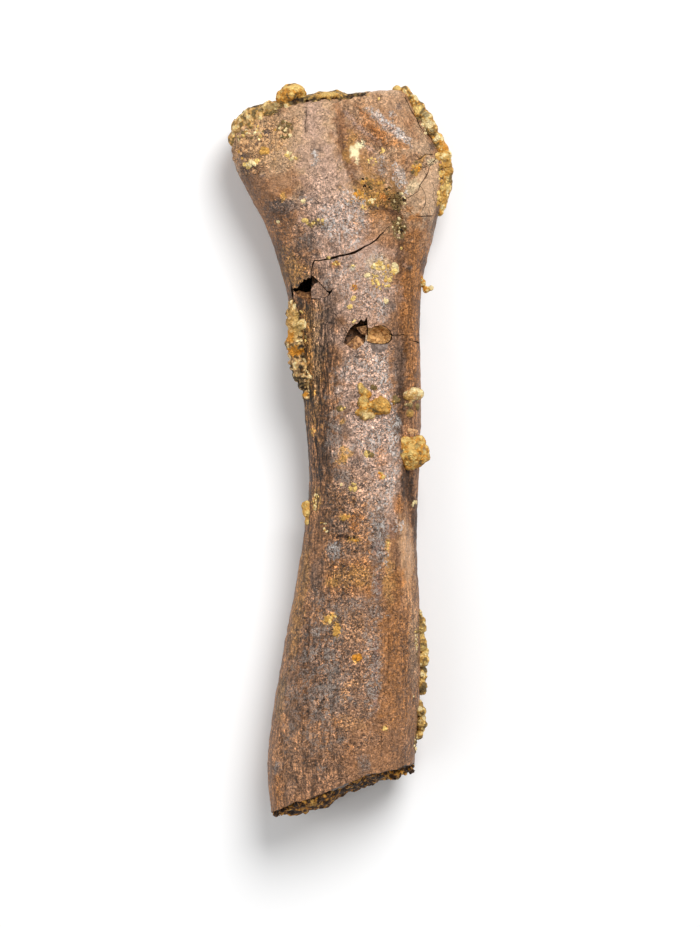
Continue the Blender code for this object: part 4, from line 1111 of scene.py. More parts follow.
def rock_finish(settings):
    """Cemented sand, with each grain a little lighter or darker than the next, painted light on the middles of
    the grains and painted shade in the gaps between them.
    """
    finish = Finish("cemented_sandstone")
    palette = palette_of(settings)
    edge = finish.cell_edges(settings.grain / MM)
    tops = finish.between(edge, 0.0, 0.35)
    # Painted light: the middle of each grain is lighter than its edge
    colour = finish.shade(finish.held("tint", "Color"), 0.90 + 0.26 * tops)
    rusty = finish.between(finish.noise(1.3, 4.0, 0.7, 1.2), 0.54, 0.66)
    colour = finish.mix(colour, palette["orange"], rusty * 0.25)
    colour = finish.shade(colour, 1 + 0.36 * finish.between(finish.noise(0.8, 3.0, 0.6), 0.54, 0.66))
    specks = finish.between(finish.noise(0.55, 3.0, 0.7, 1.0), 0.60, 0.67)
    colour = finish.mix(colour, palette["umber"], specks * 0.30)
    # Painted shade in the crevices between crumbs and in the hollows between pebbles
    colour = finish.shade(colour, 1 - 0.36 * finish.held("crevice_and_painted_shade"))
    height = 1.3 * tops + 0.8 * finish.noise(0.3, 3.0, 0.6)
    return finish.surface(colour, 0.68, finish.bump(height, 0.16), 0.25)


# Cemented rock

MIXED = dict(olive=34, orange=4, ochre=26, yellow=14, pale=22)
DULL = dict(umber=17, olive=39, tan=13, ochre=9, pale=22)


class Lump(NamedTuple):
    """A piece of rock on the bone: its balls (x, y, z, radius), or (x, y, radius) for one that lies on the bone,
    the parts of its shades, how many crumbs stand on the balls and of which sizes, the share of the balls that
    lies below the crumbs, how rough the skin is, and the stains on it."""

    slot: str
    balls: list
    shades: dict
    crumbs: int
    sizes: tuple = (0.45, 1.0)
    hull: float = 0.95
    rough: float = 1.0
    stains: list = []


LUMPS = {
    "matrix_corner_crust": Lump(
        "matrix_ochre", [
            (-23.9, 68.6, 12, 1.9), (-24.3, 71.6, 13, 2.1), (-23.7, 74.4, 14, 2.5), (-22.4, 75.6, 15.2, 2.2),
            (-21, 76.4, 16, 2.2), (-19, 77.2, 17, 2), (-16.8, 78.2, 17.5, 1.9), (-15.2, 78.8, 17.6, 1.5),
            (-22.4, 72.8, 16.2, 1.3), (-21.2, 74.6, 17.2, 1.2), (-20, 67, 17, 1.1), (-18.6, 66.8, 17.5, 0.9),
            (-21.6, 68.2, 16.2, 1),
        ],
        dict(olive=30, ochre=16, tan=31, yellow=17, pale=6), 190, (0.35, 0.8), rough=0.8,
        stains=patches(("olive", (-16, 78.8, 2.6, 0.9, 0.6, 15), (-22.4, 73, 1.6, 1.2, 0.5))),
    ),
    "matrix_end_nodule": Lump(
        "matrix_ochre", [
            (-13.8, 81, 17.8, 1.9), (-12.4, 82, 18.4, 1.9), (-11, 82.6, 18.2, 1.7), (-10.2, 82.2, 18, 1.6),
            (-9.4, 81.4, 17.6, 1.2),
        ],
        dict(olive=6, orange=42, ochre=34, yellow=18), 22, (0.7, 1.3), hull=0.97,
        stains=patches(("yellow", (-11, 83, 1.4, 0.7, 0.8))),
    ),
    "matrix_rim_crust": Lump(
        "matrix_ochre", [
            (12.2, 83.2, 13, 1.1), (14.2, 82.6, 13.5, 1.3), (16, 80.8, 14, 1.5), (17.4, 78.7, 14, 1.6),
            (17.6, 77.8, 15, 1.4), (19.2, 76.2, 13.5, 1.7), (20.2, 74, 13.5, 1.6), (21.6, 71.6, 13, 1.7),
            (22.8, 69.3, 13, 1.7), (23.7, 67, 12.5, 1.8), (24, 64.5, 12, 1.7), (24, 62, 12, 1.6),
            (23.6, 59.7, 12, 1.4), (23, 57.4, 12, 1.2), (22.2, 55.2, 12, 1), (16.9, 78.9, 14, 1.2),
            (17.5, 77.2, 14.2, 0.9), (21.3, 70.6, 13, 1), (22.3, 67.4, 15, 0.9), (22.6, 65, 15.9, 0.8),
            (22.5, 60.2, 15.3, 0.8), (22.4, 58.8, 15.2, 0.9), (22.1, 57.6, 15.4, 0.8), (15.1, 81.8, 13.5, 1.3),
            (16.8, 79.7, 14, 1.4), (18.4, 77, 13.5, 1.4), (19.8, 75.1, 13.5, 1.5), (20.9, 72.8, 13, 1.5),
            (22.2, 70.4, 13, 1.5), (23.3, 68.1, 13, 1.6), (23.8, 65.8, 12.5, 1.6), (24, 63.2, 12, 1.6),
            (23.8, 60.9, 12, 1.4), (23.3, 58.5, 12, 1.3), (22.6, 56.3, 12, 1.1),
        ],
        MIXED, 280, (0.35, 0.85), hull=0.97, rough=0.75,
        stains=patches(
            ("yellow", (17.3, 78.4, 1.2, 1, 1)),
            ("orange", (23.9, 70.3, 1.4, 1.3, 0.9)),
            ("ochre", (22.9, 58.6, 1.2, 1.8, 1)),
            ("yellow", (23.4, 61, 1.1, 1, 1)),
            ("pale", (19.4, 75.2, 1.3, 1, 0.9)),
            ("ochre", (24.4, 65.4, 1, 2, 0.8)),
            ("yellow", (12.3, 83.6, 1.2, 0.6, 1)),
            ("olive", (25.2, 62.5, 0.8, 1.4, 0.9), (18.9, 77.2, 0.9, 0.8, 0.7), (20.6, 73.4, 0.9, 0.9, 0.7)),
        ),
    ),
    "matrix_shaft_crust": Lump(
        "matrix_olive", [
            (-11.2, 33.6, 15, 1.4), (-11.2, 31.4, 15, 1.8), (-11.2, 29.4, 15, 2), (-11, 27, 15, 2.2),
            (-10.9, 24.6, 15, 2.2), (-10.6, 22.2, 15.2, 2.1), (-10.2, 19.8, 15.4, 2), (-9.8, 17.4, 15.6, 1.9),
            (-9.2, 15.2, 15.8, 1.6), (-8.6, 12.8, 16, 1.3), (-10, 24, 17, 1.5), (-9.6, 28.6, 17.4, 1.3),
            (-9, 19, 18, 1.3), (-8.6, 16.4, 18.2, 1.2),
        ],
        DULL, 320, (0.3, 0.65), hull=0.9, rough=2,
        stains=patches(
            ("ochre", (-12, 28.4, 1.6, 3.6, 0.55)),
            ("yellow", (-10.2, 28.6, 1.2, 3, 0.4)),
            ("orange", (-12.3, 26, 1, 1.4, 0.8), (-11.4, 22.8, 1.2, 1.2, 1, -20), (-10, 22.6, 1.2, 0.7, 1, 20)),
            ("tan", (-11.8, 20.6, 0.9, 0.8, 0.4)),
            ("orange", (-8.7, 12.8, 0.6, 0.5, 1)),
        ),
    ),
    "matrix_twin_nodule": Lump(
        "matrix_ochre", [
            (3.9, 14.6, 0.9), (4.7, 13.7, 1), (5.6, 12.9, 0.9), (4.6, 11, 1.6), (5.4, 9.9, 1.6),
            (5.2, 7.9, 1.3), (6.2, 8.2, 1), (8.9, 10.3, 2.4), (9.4, 9.6, 1.8), (7, 10.4, 1.3), (3.4, 8.6, 0.7),
            (12, 11.8, 0.7), (12.5, 11.3, 0.6), (11.8, 11.1, 0.5), (6.7, 14.5, 0.6), (7.3, 14.2, 0.5),
        ],
        dict(olive=32, orange=18, ochre=46, yellow=4), 90, (0.4, 0.9), hull=0.92, rough=1.4,
        stains=patches(
            ("olive", (12.2, 11.6, 1.2, 1.2, 1), (7, 14.4, 1, 1, 1)),
            ("yellow", (4.8, 11.2, 1.2, 1, 0.5)),
            ("pale", (5.6, 7.9, 1.4, 0.9, 0.5)),
            ("yellow", (4.6, 14, 1.4, 1, 0.5, -30)),
            ("ochre", (9, 10.6, 1.8, 1.8, 0.7)),
        ),
    ),
    "matrix_pale_nodule": Lump(
        "matrix_pale", [
            (14.6, 12.3, 1.2), (15.5, 12.7, 1.4), (16.4, 12.9, 17.9, 1.5), (17.3, 12.9, 17.3, 1.45),
            (15.4, 8.4, 1), (16.9, 10, 16.6, 1.1), (15.4, 10.3, 0.7), (14.5, 10.6, 0.5),
        ],
        dict(tan=20, ochre=12, pale=68), 50, (0.35, 0.7),
        stains=patches(
            ("olive", (16.2, 9.2, 2.4, 1.7, 0.9)),
            ("ochre", (14.6, 11.8, 1, 0.6, 0.9, -30), (15.4, 8.3, 0.9, 0.9, 0.7)),
        ),
    ),
    "matrix_round_nodule": Lump(
        "matrix_ochre", [
            (15.8, -0.8, 18, 3.7), (16.8, -0.7, 17.5, 3.6), (14, 1.6, 18.8, 1.6), (17.4, 2, 18.2, 1.6),
            (13.6, -1.4, 18.4, 1.5), (18.4, -1.2, 17.4, 1.5), (17.2, -2.8, 17.8, 1.5), (15.2, -3.2, 18.2, 1.5),
            (16, -0.4, 20, 1.6),
        ],
        dict(olive=4, orange=28, ochre=50, yellow=18), 90, (0.5, 1.1),
        stains=patches(
            ("slate", (13.3, -0.4, 0.5, 0.5, 0.9), (18.6, 0.2, 0.4, 0.4, 0.5)),
            ("olive", (15, -1.6, 0.4, 0.4, 0.7)),
            ("yellow", (16, 0.6, 1.4, 1.1, 0.5)),
        ),
    ),
    "matrix_side_crumb": Lump(
        "matrix_ochre", [
            (17.6, 39.6, 14.6, 0.9), (18.4, 38.4, 14, 1), (19.3, 37, 13.4, 0.8), (20.1, 37.2, 13.4, 0.6),
        ],
        dict(orange=5, yellow=3, pale=2), 14, (0.3, 0.6),
    ),
    "matrix_left_crumb": Lump(
        "matrix_ochre", [(-8.4, -13.2, 14, 1.3), (-8.2, -14.6, 14, 1.3), (-7.9, -16.3, 14, 1.3)],
        dict(ochre=7, yellow=3), 22, (0.4, 0.7),
    ),
    "matrix_edge_crust": Lump(
        "matrix_olive", [
            (17.4, -37.8, 13, 1), (18, -39.6, 13, 1.4), (17.8, -41.3, 14, 1.2), (18.3, -43.6, 13, 1.2),
            (18, -45, 14, 1.5), (18.7, -46.8, 13, 1.3), (18.2, -48.6, 14, 1.6), (18.2, -50.9, 13, 1.1),
            (18.3, -52.4, 13, 1.4), (18, -54, 14, 1.2), (18.1, -55.2, 13, 1.1), (17.8, -42.5, 13, 1.2),
            (18.2, -47.7, 13.5, 1.3), (18, -49.8, 13.5, 1.3), (17.9, -51.7, 14, 1.2),
        ],
        dict(olive=40, ochre=26, yellow=22, pale=12), 170, (0.3, 0.75), hull=0.94, rough=1.2,
        stains=patches(("yellow", (18, -42.2, 1.2, 1.4, 0.9), (18, -46, 1.1, 1, 0.9))),
    ),
    "matrix_edge_crumb": Lump(
        "matrix_olive", [
            (17.6, -58.6, 13, 1.1), (17.8, -60, 14, 1.3), (18, -61.6, 13, 1.3), (17.8, -63, 14, 1.4),
            (17.5, -64.4, 13, 1.2), (17.2, -65.6, 14, 1),
        ],
        dict(olive=45, ochre=30, yellow=16, pale=9), 100, (0.3, 0.7), hull=0.94, rough=1.2,
    ),
}


class EndRock(NamedTuple):
    """A crust on one of the ends, which starts from the frame's own shape: how many crumbs stand on it and of
    which sizes, the parts of its shades and the scale of their pattern, how far noise moves it along Y, how far a
    stretch of it is moved, with the middle and the half-length of that stretch, and the stains on it."""

    count: int
    sizes: tuple
    shades: dict
    scale: float
    rough: float
    tuck: tuple
    stains: list


# The length over which a moved stretch of a crust runs out
TUCK_LENGTH = 3
# The upper edge of the joint end's face in plan
END_EDGE = [(-21, 76.5), (-9.8, 79.3), (-1.8, 80.3), (7.3, 81.4), (13, 82)]
END_CRUST = EndRock(
    420, (0.2, 0.4), dict(umber=10, olive=64, ochre=16, pale=10), 1, 0, (-1.5, 12, 13.6),
    patches(
        ("ochre", (-3.6, 81.6, 2.8, 0.9, 1, 3)),
        ("yellow", (-3, 81.8, 1.8, 0.6, 0.6, 3)),
        ("tan", (11, 82.5, 5, 2.5, 0.9)),
    ),
)
BREAK_FILL = EndRock(
    900, (0.3, 0.75), dict(umber=50, brown=28, orange=13, ochre=9), 0.5, 0.65, (1.1, 4, 7.5),
    patches(
        ("ochre", (-1.4, -77.9, 1.4, 0.7, 0.7, 20), (-6.8, -80.6, 0.8, 0.6, 0.7)),
        ("orange", (-8.8, -82.2, 0.7, 0.5, 0.7), (4.4, -75.9, 0.7, 0.4, 0.7)),
        ("pale", (12.8, -75.6, 0.7, 0.4, 0.5)),
    ),
)


class Scatter(NamedTuple):
    """Loose grains on the bone: where in plan, how many, how big, in which parts of shades, and the turn."""

    x: float
    y: float
    across: float
    along: float
    count: int
    sizes: tuple
    shades: dict
    turn: float = 0


GRAINS = [Scatter(*row) for row in (
    # joint end, from the left corner round to the rim
    (-21.5, 73.5, 3.2, 3.6, 60, (0.3, 0.6), dict(pale=4, yellow=5, olive=2, tan=9)),
    (-18, 77.4, 3.4, 0.9, 40, (0.25, 0.55), dict(olive=6, pale=2, umber=2), 15),
    (-18.8, 70, 5.8, 4.8, 70, (0.3, 0.6), dict(tan=9, ochre=1)),
    (-21.3, 65.8, 1.6, 0.6, 12, (0.5, 0.9), dict(yellow=6, pale=4), 15),
    (-18.2, 68.6, 1.2, 0.6, 7, (0.5, 0.8), dict(ochre=1), 20),
    (-13.2, 73.4, 1.6, 1.9, 46, (0.25, 0.6), dict(olive=10, tan=7, pale=3)),
    (-12.2, 67.2, 1.6, 1, 9, (0.3, 0.55), dict(yellow=6, pale=4)),
    (-9, 57, 0.5, 0.4, 4, (0.4, 0.6), dict(pale=1)), (-8.8, 52.2, 0.5, 0.5, 4, (0.4, 0.7), dict(yellow=1)),
    (-6, 51.8, 2.2, 0.9, 16, (0.25, 0.5), dict(olive=5, yellow=5)),
    (-14.9, 52.2, 0.3, 0.3, 2, (0.4, 0.5), dict(pale=1)), (8.2, 80.7, 0.3, 0.4, 3, (0.3, 0.5), dict(yellow=1)),
    (3.8, 58.3, 1, 0.8, 14, (0.3, 0.6), dict(orange=6, ochre=4)),
    (6.8, 57.1, 0.8, 0.5, 8, (0.35, 0.6), dict(pale=8, yellow=2), 20),
    (7.2, 59, 4.4, 3.2, 70, (0.2, 0.5), dict(ochre=4, olive=4, umber=2), -15),
    (12.6, 56.8, 1.6, 2.2, 60, (0.2, 0.5), dict(olive=6, pale=2, umber=2)),
    (12.8, 50.8, 1.6, 2.4, 60, (0.2, 0.5), dict(olive=11, pale=6, umber=3)),
    (4.9, 55.4, 0.8, 0.6, 9, (0.25, 0.5), dict(yellow=7, ochre=3)),
    (6.6, 66.2, 1.2, 0.8, 9, (0.25, 0.5), dict(yellow=5, pale=5)),
    (9.2, 68.6, 1.2, 0.6, 9, (0.25, 0.5), dict(yellow=7, ochre=3)),
    (16.8, 64.6, 1, 1.6, 26, (0.25, 0.6), dict(ochre=5, orange=2, olive=3), -10),
    (18, 78, 1.5, 2.2, 30, (0.3, 0.7), dict(yellow=4, pale=3, olive=3), -40),
    (19.4, 74.6, 1.3, 2, 30, (0.3, 0.7), dict(pale=5, yellow=2, olive=3), -35),
    (22.4, 68.6, 0.8, 1.8, 20, (0.3, 0.7), dict(yellow=6, ochre=4), -15),
    (22.9, 63.5, 0.8, 3.4, 34, (0.3, 0.8), dict(ochre=5, olive=3, yellow=2)),
    (22.2, 58, 0.7, 1.6, 14, (0.4, 0.8), dict(yellow=7, ochre=3), -10),
    # between the joint end and the pit
    (8.2, 42.1, 1.1, 0.9, 16, (0.4, 0.75), dict(yellow=8, pale=2)),
    (12, 41.4, 0.6, 1.1, 11, (0.5, 0.85), dict(pale=8, yellow=2), 10),
    (9.2, 40, 2.8, 3.6, 42, (0.25, 0.55), dict(yellow=8, ochre=2)),
    (5.7, 39.8, 0.4, 0.4, 5, (0.4, 0.6), dict(pale=1)),
    (2.5, 37.3, 0.5, 0.7, 6, (0.25, 0.5), dict(ochre=6, orange=4)),
    (-1.6, 42.4, 0.9, 0.7, 10, (0.2, 0.45), dict(ochre=7, yellow=3)),
    (2, 42, 0.4, 0.6, 4, (0.25, 0.45), dict(yellow=1)), (2.4, 34.6, 0.4, 0.5, 5, (0.35, 0.6), dict(yellow=1)),
    (1.5, 32.8, 0.6, 0.4, 5, (0.35, 0.6), dict(yellow=1)),
    (2.4, 29.6, 0.4, 0.8, 5, (0.25, 0.45), dict(yellow=7, pale=3)),
    (9.9, 34, 0.4, 0.6, 5, (0.35, 0.6), dict(pale=1)), (13.5, 46.4, 0.3, 0.3, 2, (0.4, 0.5), dict(yellow=1)),
    (-3.4, 43.8, 0.4, 0.3, 3, (0.3, 0.5), dict(yellow=6, olive=4)),
    # shaft
    (-0.4, 9.6, 0.8, 0.5, 8, (0.35, 0.65), dict(yellow=4, olive=6)),
    (-9, 15.5, 1.4, 3.4, 50, (0.2, 0.45), dict(olive=6, pale=2, umber=2)),
    (-9.6, 27, 1, 5, 40, (0.2, 0.5), dict(olive=4, yellow=4, tan=2)),
    (5.9, -1, 0.9, 0.7, 12, (0.35, 0.7), dict(yellow=4, olive=6)),
    (2.3, -8.5, 0.9, 1, 14, (0.25, 0.5), dict(yellow=7, olive=3)),
    (8.6, -5.8, 0.7, 0.8, 9, (0.3, 0.55), dict(yellow=6, orange=4)),
    (-0.5, -8.1, 0.3, 0.3, 2, (0.35, 0.45), dict(pale=1)), (16, 4.4, 0.9, 0.8, 8, (0.4, 0.7), dict(tan=1)),
    (16.5, -12.6, 0.5, 0.9, 7, (0.35, 0.6), dict(pale=1)),
    (-6.3, -11.8, 0.8, 2.4, 22, (0.25, 0.5), dict(pale=5, yellow=5)),
    (-4.3, -17.2, 0.7, 1.6, 9, (0.25, 0.45), dict(pale=6, ochre=4), 20),
    (2.4, -20.3, 1.3, 0.5, 13, (0.25, 0.5), dict(ochre=5, umber=2, orange=3), -8),
    (10.1, -21.6, 0.3, 1.4, 8, (0.2, 0.4), dict(yellow=6, olive=4)),
    (0.6, -15.5, 1, 0.5, 12, (0.3, 0.55), dict(ochre=1), -8),
    (-3, -38.6, 1.6, 0.7, 20, (0.25, 0.55), dict(ochre=8, yellow=2), 15),
    (-1.4, -41.2, 0.5, 1.6, 16, (0.3, 0.6), dict(ochre=8, orange=2)),
    (3.1, -47.4, 0.8, 0.8, 12, (0.3, 0.6), dict(orange=7, ochre=3)),
    (9.6, -63.5, 0.5, 0.4, 6, (0.25, 0.5), dict(yellow=7, orange=3)),
    (16.1, -56.5, 0.2, 0.2, 2, (0.35, 0.45), dict(pale=1)),
    (16.6, -68, 0.4, 3, 26, (0.25, 0.5), dict(olive=7, pale=3)),
    (16.9, -44, 0.5, 3.4, 24, (0.25, 0.5), dict(yellow=5, pale=3, olive=2)),
)]
# How far a loose grain sinks in, as a share of its size, from which size it has more faces, and the lowest height
# at which one lies
SINK, BIG_GRAIN, LOWEST_GRAIN = 0.45, 0.45, 8
# Where crumbs stand on the broken face: from where to where across and up, and the half-sizes of their oval
FILL_ACROSS, FILL_UP, FILL_HALF = (-16.5, 16.5), (0.6, 23.6), (16.2, 12.2)
# Where they stand on the joint end: from where to where across, the upper edge, how far they spread below it, and
# the lowest
END_ACROSS, END_TOP, END_SPREAD, END_LOWEST = (-21, 14), 20.5, 5, 2
# How wide the gaps between crumbs are, the scale of the shades on lumps, a block's size before it is scaled, and
# how much a crumb is stretched along each of its axes
CREVICE_WIDTH, LUMP_SCALE, BLOCK_SIZE, STRETCH = 0.3, 0.7, 1.45, (0.72, 1.25)


def add_crumb(mesh, rng, centre, radius, detail=None):
    """An angular grain, turned and stretched at random: a block, or a ball of few faces if detail is given."""
    turn = Matrix.Rotation(rng.uniform(0, math.tau), 4, Vector(rng.normal(size=3)).normalized())
    stretch = Matrix.Diagonal(Vector(rng.uniform(*STRETCH, 3))).to_4x4()
    place = Matrix.Translation(Vector(centre) * MM) @ turn @ stretch @ Matrix.Scale(radius * MM, 4)
    if detail is None:
        return bmesh.ops.create_cube(mesh, size=BLOCK_SIZE, matrix=place)["verts"]
    return bmesh.ops.create_icosphere(mesh, subdivisions=detail, radius=1, matrix=place)["verts"]


def shade_of(rng, shades, palette):
    """A loose grain's colour, drawn from the shades."""
    kind = rng.choice(list(shades), p=np.array(list(shades.values())) / sum(shades.values()))
    return np.array(palette[kind]) * rng.uniform(0.82, 1.18)


def rock_colours(points, low, plan, palette, scale):
    """A colour for each point: the plan's shades, the first of them in the gaps, with its stains over them."""
    # The gaps lean to the first shade, mostly the darkest: partly dark sand between the grains and partly painted
    # shade
    level = 0.9 * noise(points, 1.7 * scale, 41) + noise(points, 0.8 * scale, 42) - 0.4 * low
    order = np.argsort(np.argsort(level)) / len(level)
    shares = np.array(list(plan.shades.values())) / sum(plan.shades.values())
    middles = np.cumsum(shares) - shares / 2
    shades = np.array([palette[kind] for kind in plan.shades])
    colours = np.column_stack([np.interp(order, middles, channel) for channel in shades.T])
    for stain in plan.stains:
        reached, strength = lay_patch(points, stain)
        colours[reached] += strength[:, None] * (np.array(palette[stain.kind]) - colours[reached])
    return colours * (1 + 0.16 * noise(points, 0.7, 43))[:, None]


def finish_rock(piece, settings, centres, radii, plan, rough, scale):
    """Remeshes the crumbs into one skin, sinks the gaps between them and colours it, with painted shade in those
    gaps.
    """
    finish_with(piece, "REMESH", mode="VOXEL", voxel_size=settings.detail)
    finish_with(piece, "SMOOTH", factor=0.5, iterations=1)
    points, facing = places(piece), normals(piece)
    first, second = np.full(len(points), np.inf), np.full(len(points), np.inf)
    for centre, radius in zip(centres, radii):
        away = np.linalg.norm(points - centre, axis=1) - radius
        second = np.where(away < first, first, np.minimum(second, away))
        first = np.minimum(first, away)
    crevice_and_painted_shade = (1 - smooth_step((second - first) / CREVICE_WIDTH)) * (0.5 + 0.5 * noise(points, 1.1, 34))
    pebbles = smooth_step(1.2 - grains(points, 1.0, 35))
    height = 0.14 * pebbles - 0.08 * crevice_and_painted_shade + 0.10 * noise(points, 0.6, 32) - 0.08
    height = rough * height + 0.15 * noise(points, 1.3, 31)
    move_points(piece, points + facing * height[:, None])
    palette = palette_of(settings)
    hold(piece, "tint", rock_colours(points, rough * (crevice_and_painted_shade - pebbles), plan, palette, scale))
    # Painted shade: how much the finish darkens the crevices between crumbs and the hollows between pebbles
    hold(piece, "crevice_and_painted_shade", np.clip(0.5 * crevice_and_painted_shade + 0.5 * (1 - pebbles), 0, 1))
    piece.data.materials.clear()
    piece.data.materials.append(bpy.data.materials["cemented_sandstone"])
    only(piece)
    bpy.ops.object.shade_smooth()


def make_lump(name, lump, surface, settings, rng):
    """Balls with crumbs all over them, grown together. No crumb starts deep inside another ball."""
    balls = []
    for x, y, *z, radius in lump.balls:
        middle = np.array((x, y, z[0] if z else height_at(surface, x, y))) + rng.uniform(-0.2, 0.2, 3)
        balls.append((*middle, radius * rng.uniform(0.88, 1.12)))
    mesh = bmesh.new()
    for x, y, z, radius in balls:
        place = Matrix.Translation(Vector((x, y, z)) * MM) @ Matrix.Scale(lump.hull * radius * MM, 4)
        bmesh.ops.create_icosphere(mesh, subdivisions=3, radius=1, matrix=place)
    size = np.array([ball[3] for ball in balls])
    centres, radii = [], []
    while len(centres) < lump.crumbs:
        x, y, z, radius = balls[rng.choice(len(balls), p=size**2 / sum(size**2))]
        heading = Vector(rng.normal(size=3)).normalized()
        crumb = rng.uniform(*lump.sizes)
        centre = np.array((x, y, z)) + np.array(heading) * (radius - crumb)
        if any(np.linalg.norm(centre - ball[:3]) < 0.7 * ball[3] - 0.6 * crumb for ball in balls):
            continue
        add_crumb(mesh, rng, centre, crumb)
        centres.append(centre)
        radii.append(crumb)
    piece = new_object(name + "_rock", mesh)
    finish_rock(piece, settings, centres, radii, lump, lump.rough, LUMP_SCALE)
    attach(piece, BODY)
    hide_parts(name)


def make_end_rock(name, centres, plan, settings, rng):
    """A copy of one of the frame's crusts with crumbs on it."""
    piece = copied_node(name, name + "_rock")
    mesh = bmesh.new()
    mesh.from_mesh(piece.data)
    radii = rng.uniform(*plan.sizes, len(centres))
    for centre, radius in zip(centres, radii):
        add_crumb(mesh, rng, centre, radius)
    mesh.to_mesh(piece.data)
    mesh.free()
    finish_rock(piece, settings, centres, radii, plan, 1.0, plan.scale)
    points = places(piece)
    amount, middle, half = plan.tuck
    points[:, 1] += amount * smooth_step((half - np.abs(points[:, 0] - middle)) / TUCK_LENGTH)
    points[:, 1] += plan.rough * (noise(points, 2.4, 51) + 0.7 * noise(points, 1.1, 52))
    move_points(piece, points)
    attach(piece, BODY)
    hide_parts(name)


def break_places(rng, count):
    """Places on the broken face."""
    out = []
    while len(out) < count:
        x, z = rng.uniform(*FILL_ACROSS), rng.uniform(*FILL_UP)
        if math.hypot((x - BREAK_MIDDLE[0]) / FILL_HALF[0], (z - BREAK_MIDDLE[1]) / FILL_HALF[1]) < 1:
            out.append(np.array((x, float(break_face(x, z)) + rng.uniform(-1.0, 0.2), z)))
    return out


def end_places(rng, surface, count):
    """Places along the upper edge of the joint end's face and on the face below it."""
    out = []
    while len(out) < count:
        x, z = rng.uniform(*END_ACROSS), END_TOP - END_SPREAD * abs(rng.normal())
        hit = surface.ray_cast(Vector((x, RAY_BEYOND, z)) * MM, Vector((0, -1, 0)))[0]
        if z > END_LOWEST and hit is not None and hit.y / MM > np.interp(x, *zip(*END_EDGE)):
            out.append(np.array(hit) / MM + np.array((0, rng.uniform(-0.3, 0.05), 0)))
    return out


def make_grains(surface, settings, rng):
    """Hundreds of loose grains, half sunk in the bone, in one piece."""
    palette = palette_of(settings)
    mesh = bmesh.new()
    colours = []
    for spot in GRAINS:
        turn = math.radians(spot.turn)
        for _ in range(spot.count):
            reach, way = math.sqrt(rng.uniform()), rng.uniform(0, math.tau)
            u, v = reach * spot.across * math.cos(way), reach * spot.along * math.sin(way)
            x = spot.x + u * math.cos(turn) - v * math.sin(turn)
            y = spot.y + u * math.sin(turn) + v * math.cos(turn)
            hit, facing = from_above(surface, x, y)
            radius = rng.uniform(*spot.sizes)
            if hit is None or hit.z < LOWEST_GRAIN * MM:
                continue
            centre = hit / MM - facing * radius * SINK
            made = add_crumb(mesh, rng, centre, radius, 2 if radius > BIG_GRAIN else 1)
            colours += [shade_of(rng, spot.shades, palette)] * len(made)
    piece = new_object("loose_grains", mesh)
    points, facing = places(piece), normals(piece)
    move_points(piece, points + facing * (0.13 * noise(points, 0.45, 33))[:, None])
    hold(piece, "tint", np.array(colours))
    # The loose grains get no painted shade
    hold(piece, "crevice_and_painted_shade", np.zeros(len(points)))
    piece.data.materials.append(bpy.data.materials["cemented_sandstone"])
    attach(piece, BODY)


# Flakes of bone in the breaks


class Flake(NamedTuple):
    """A flat flake: its outline in plan with the height of each corner's top, its thickness and its finish."""

    corners: list
    thickness: float
    finish: str


CHIP = Flake([
    (-5.6, 38.5, 20.7), (-4.6, 37.3, 21), (-3.2, 35.8, 21.2), (-3.7, 35.1, 21.2), (-5.8, 34.6, 20.5),
    (-7.2, 34.8, 19.5), (-7.3, 36.9, 18.9), (-6.6, 38, 19.7),
], 1.6, "bone_cortex")
SHARDS = {
    "pit_shard": Flake([
        (0.7, 24.1, 20.3), (3.05, 26.25, 19.7), (4.7, 25.2, 20.3), (5, 23.9, 20.9), (3, 22.7, 21),
    ], 2, "bone_fracture_brown"),
    "pit_splinter": Flake([
        (2.9, 28.1, 19.2), (5.5, 28.6, 20), (5.5, 26.2, 20.2), (4.2, 26.6, 19.4),
    ], 1.4, "bone_fracture_brown"),
    "pit_sliver": Flake([
        (5, 24.6, 20.9), (5.45, 24.5, 20.9), (5.6, 26.3, 20.6), (5.2, 26.4, 20.5),
    ], 1.8, "bone_fracture_pale"),
}
FLAKE_BEVEL = 0.16


def make_flake(name, flake):
    """A slab with bevelled edges."""
    outline = [corner[:2] for corner in flake.corners]
    tops = [corner[2] for corner in flake.corners]
    piece = new_object(name, prism(outline, [top - flake.thickness for top in tops], tops))
    piece.data.materials.append(bpy.data.materials[flake.finish])
    finish_with(piece, "BEVEL", width=FLAKE_BEVEL * MM, segments=2, limit_method="ANGLE")
    only(piece)
    bpy.ops.object.shade_smooth_by_angle(angle=SMOOTH_ANGLE)
    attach(piece, BODY)
    return piece


# The stage: the place of each light and its size, and the floor's size, all in metres, then where the camera
# stands in plan and the height of the middle of the bone, in millimetres
KEY_LIGHT, FILL_LIGHT, FLOOR_SIZE = ((0.28, 0.52, 0.75), 0.55), ((-0.6, -0.2, 0.6), 0.8), 6
CAMERA_PLACE, MIDDLE_HEIGHT = (1.6, -3.1), 12


# Operators


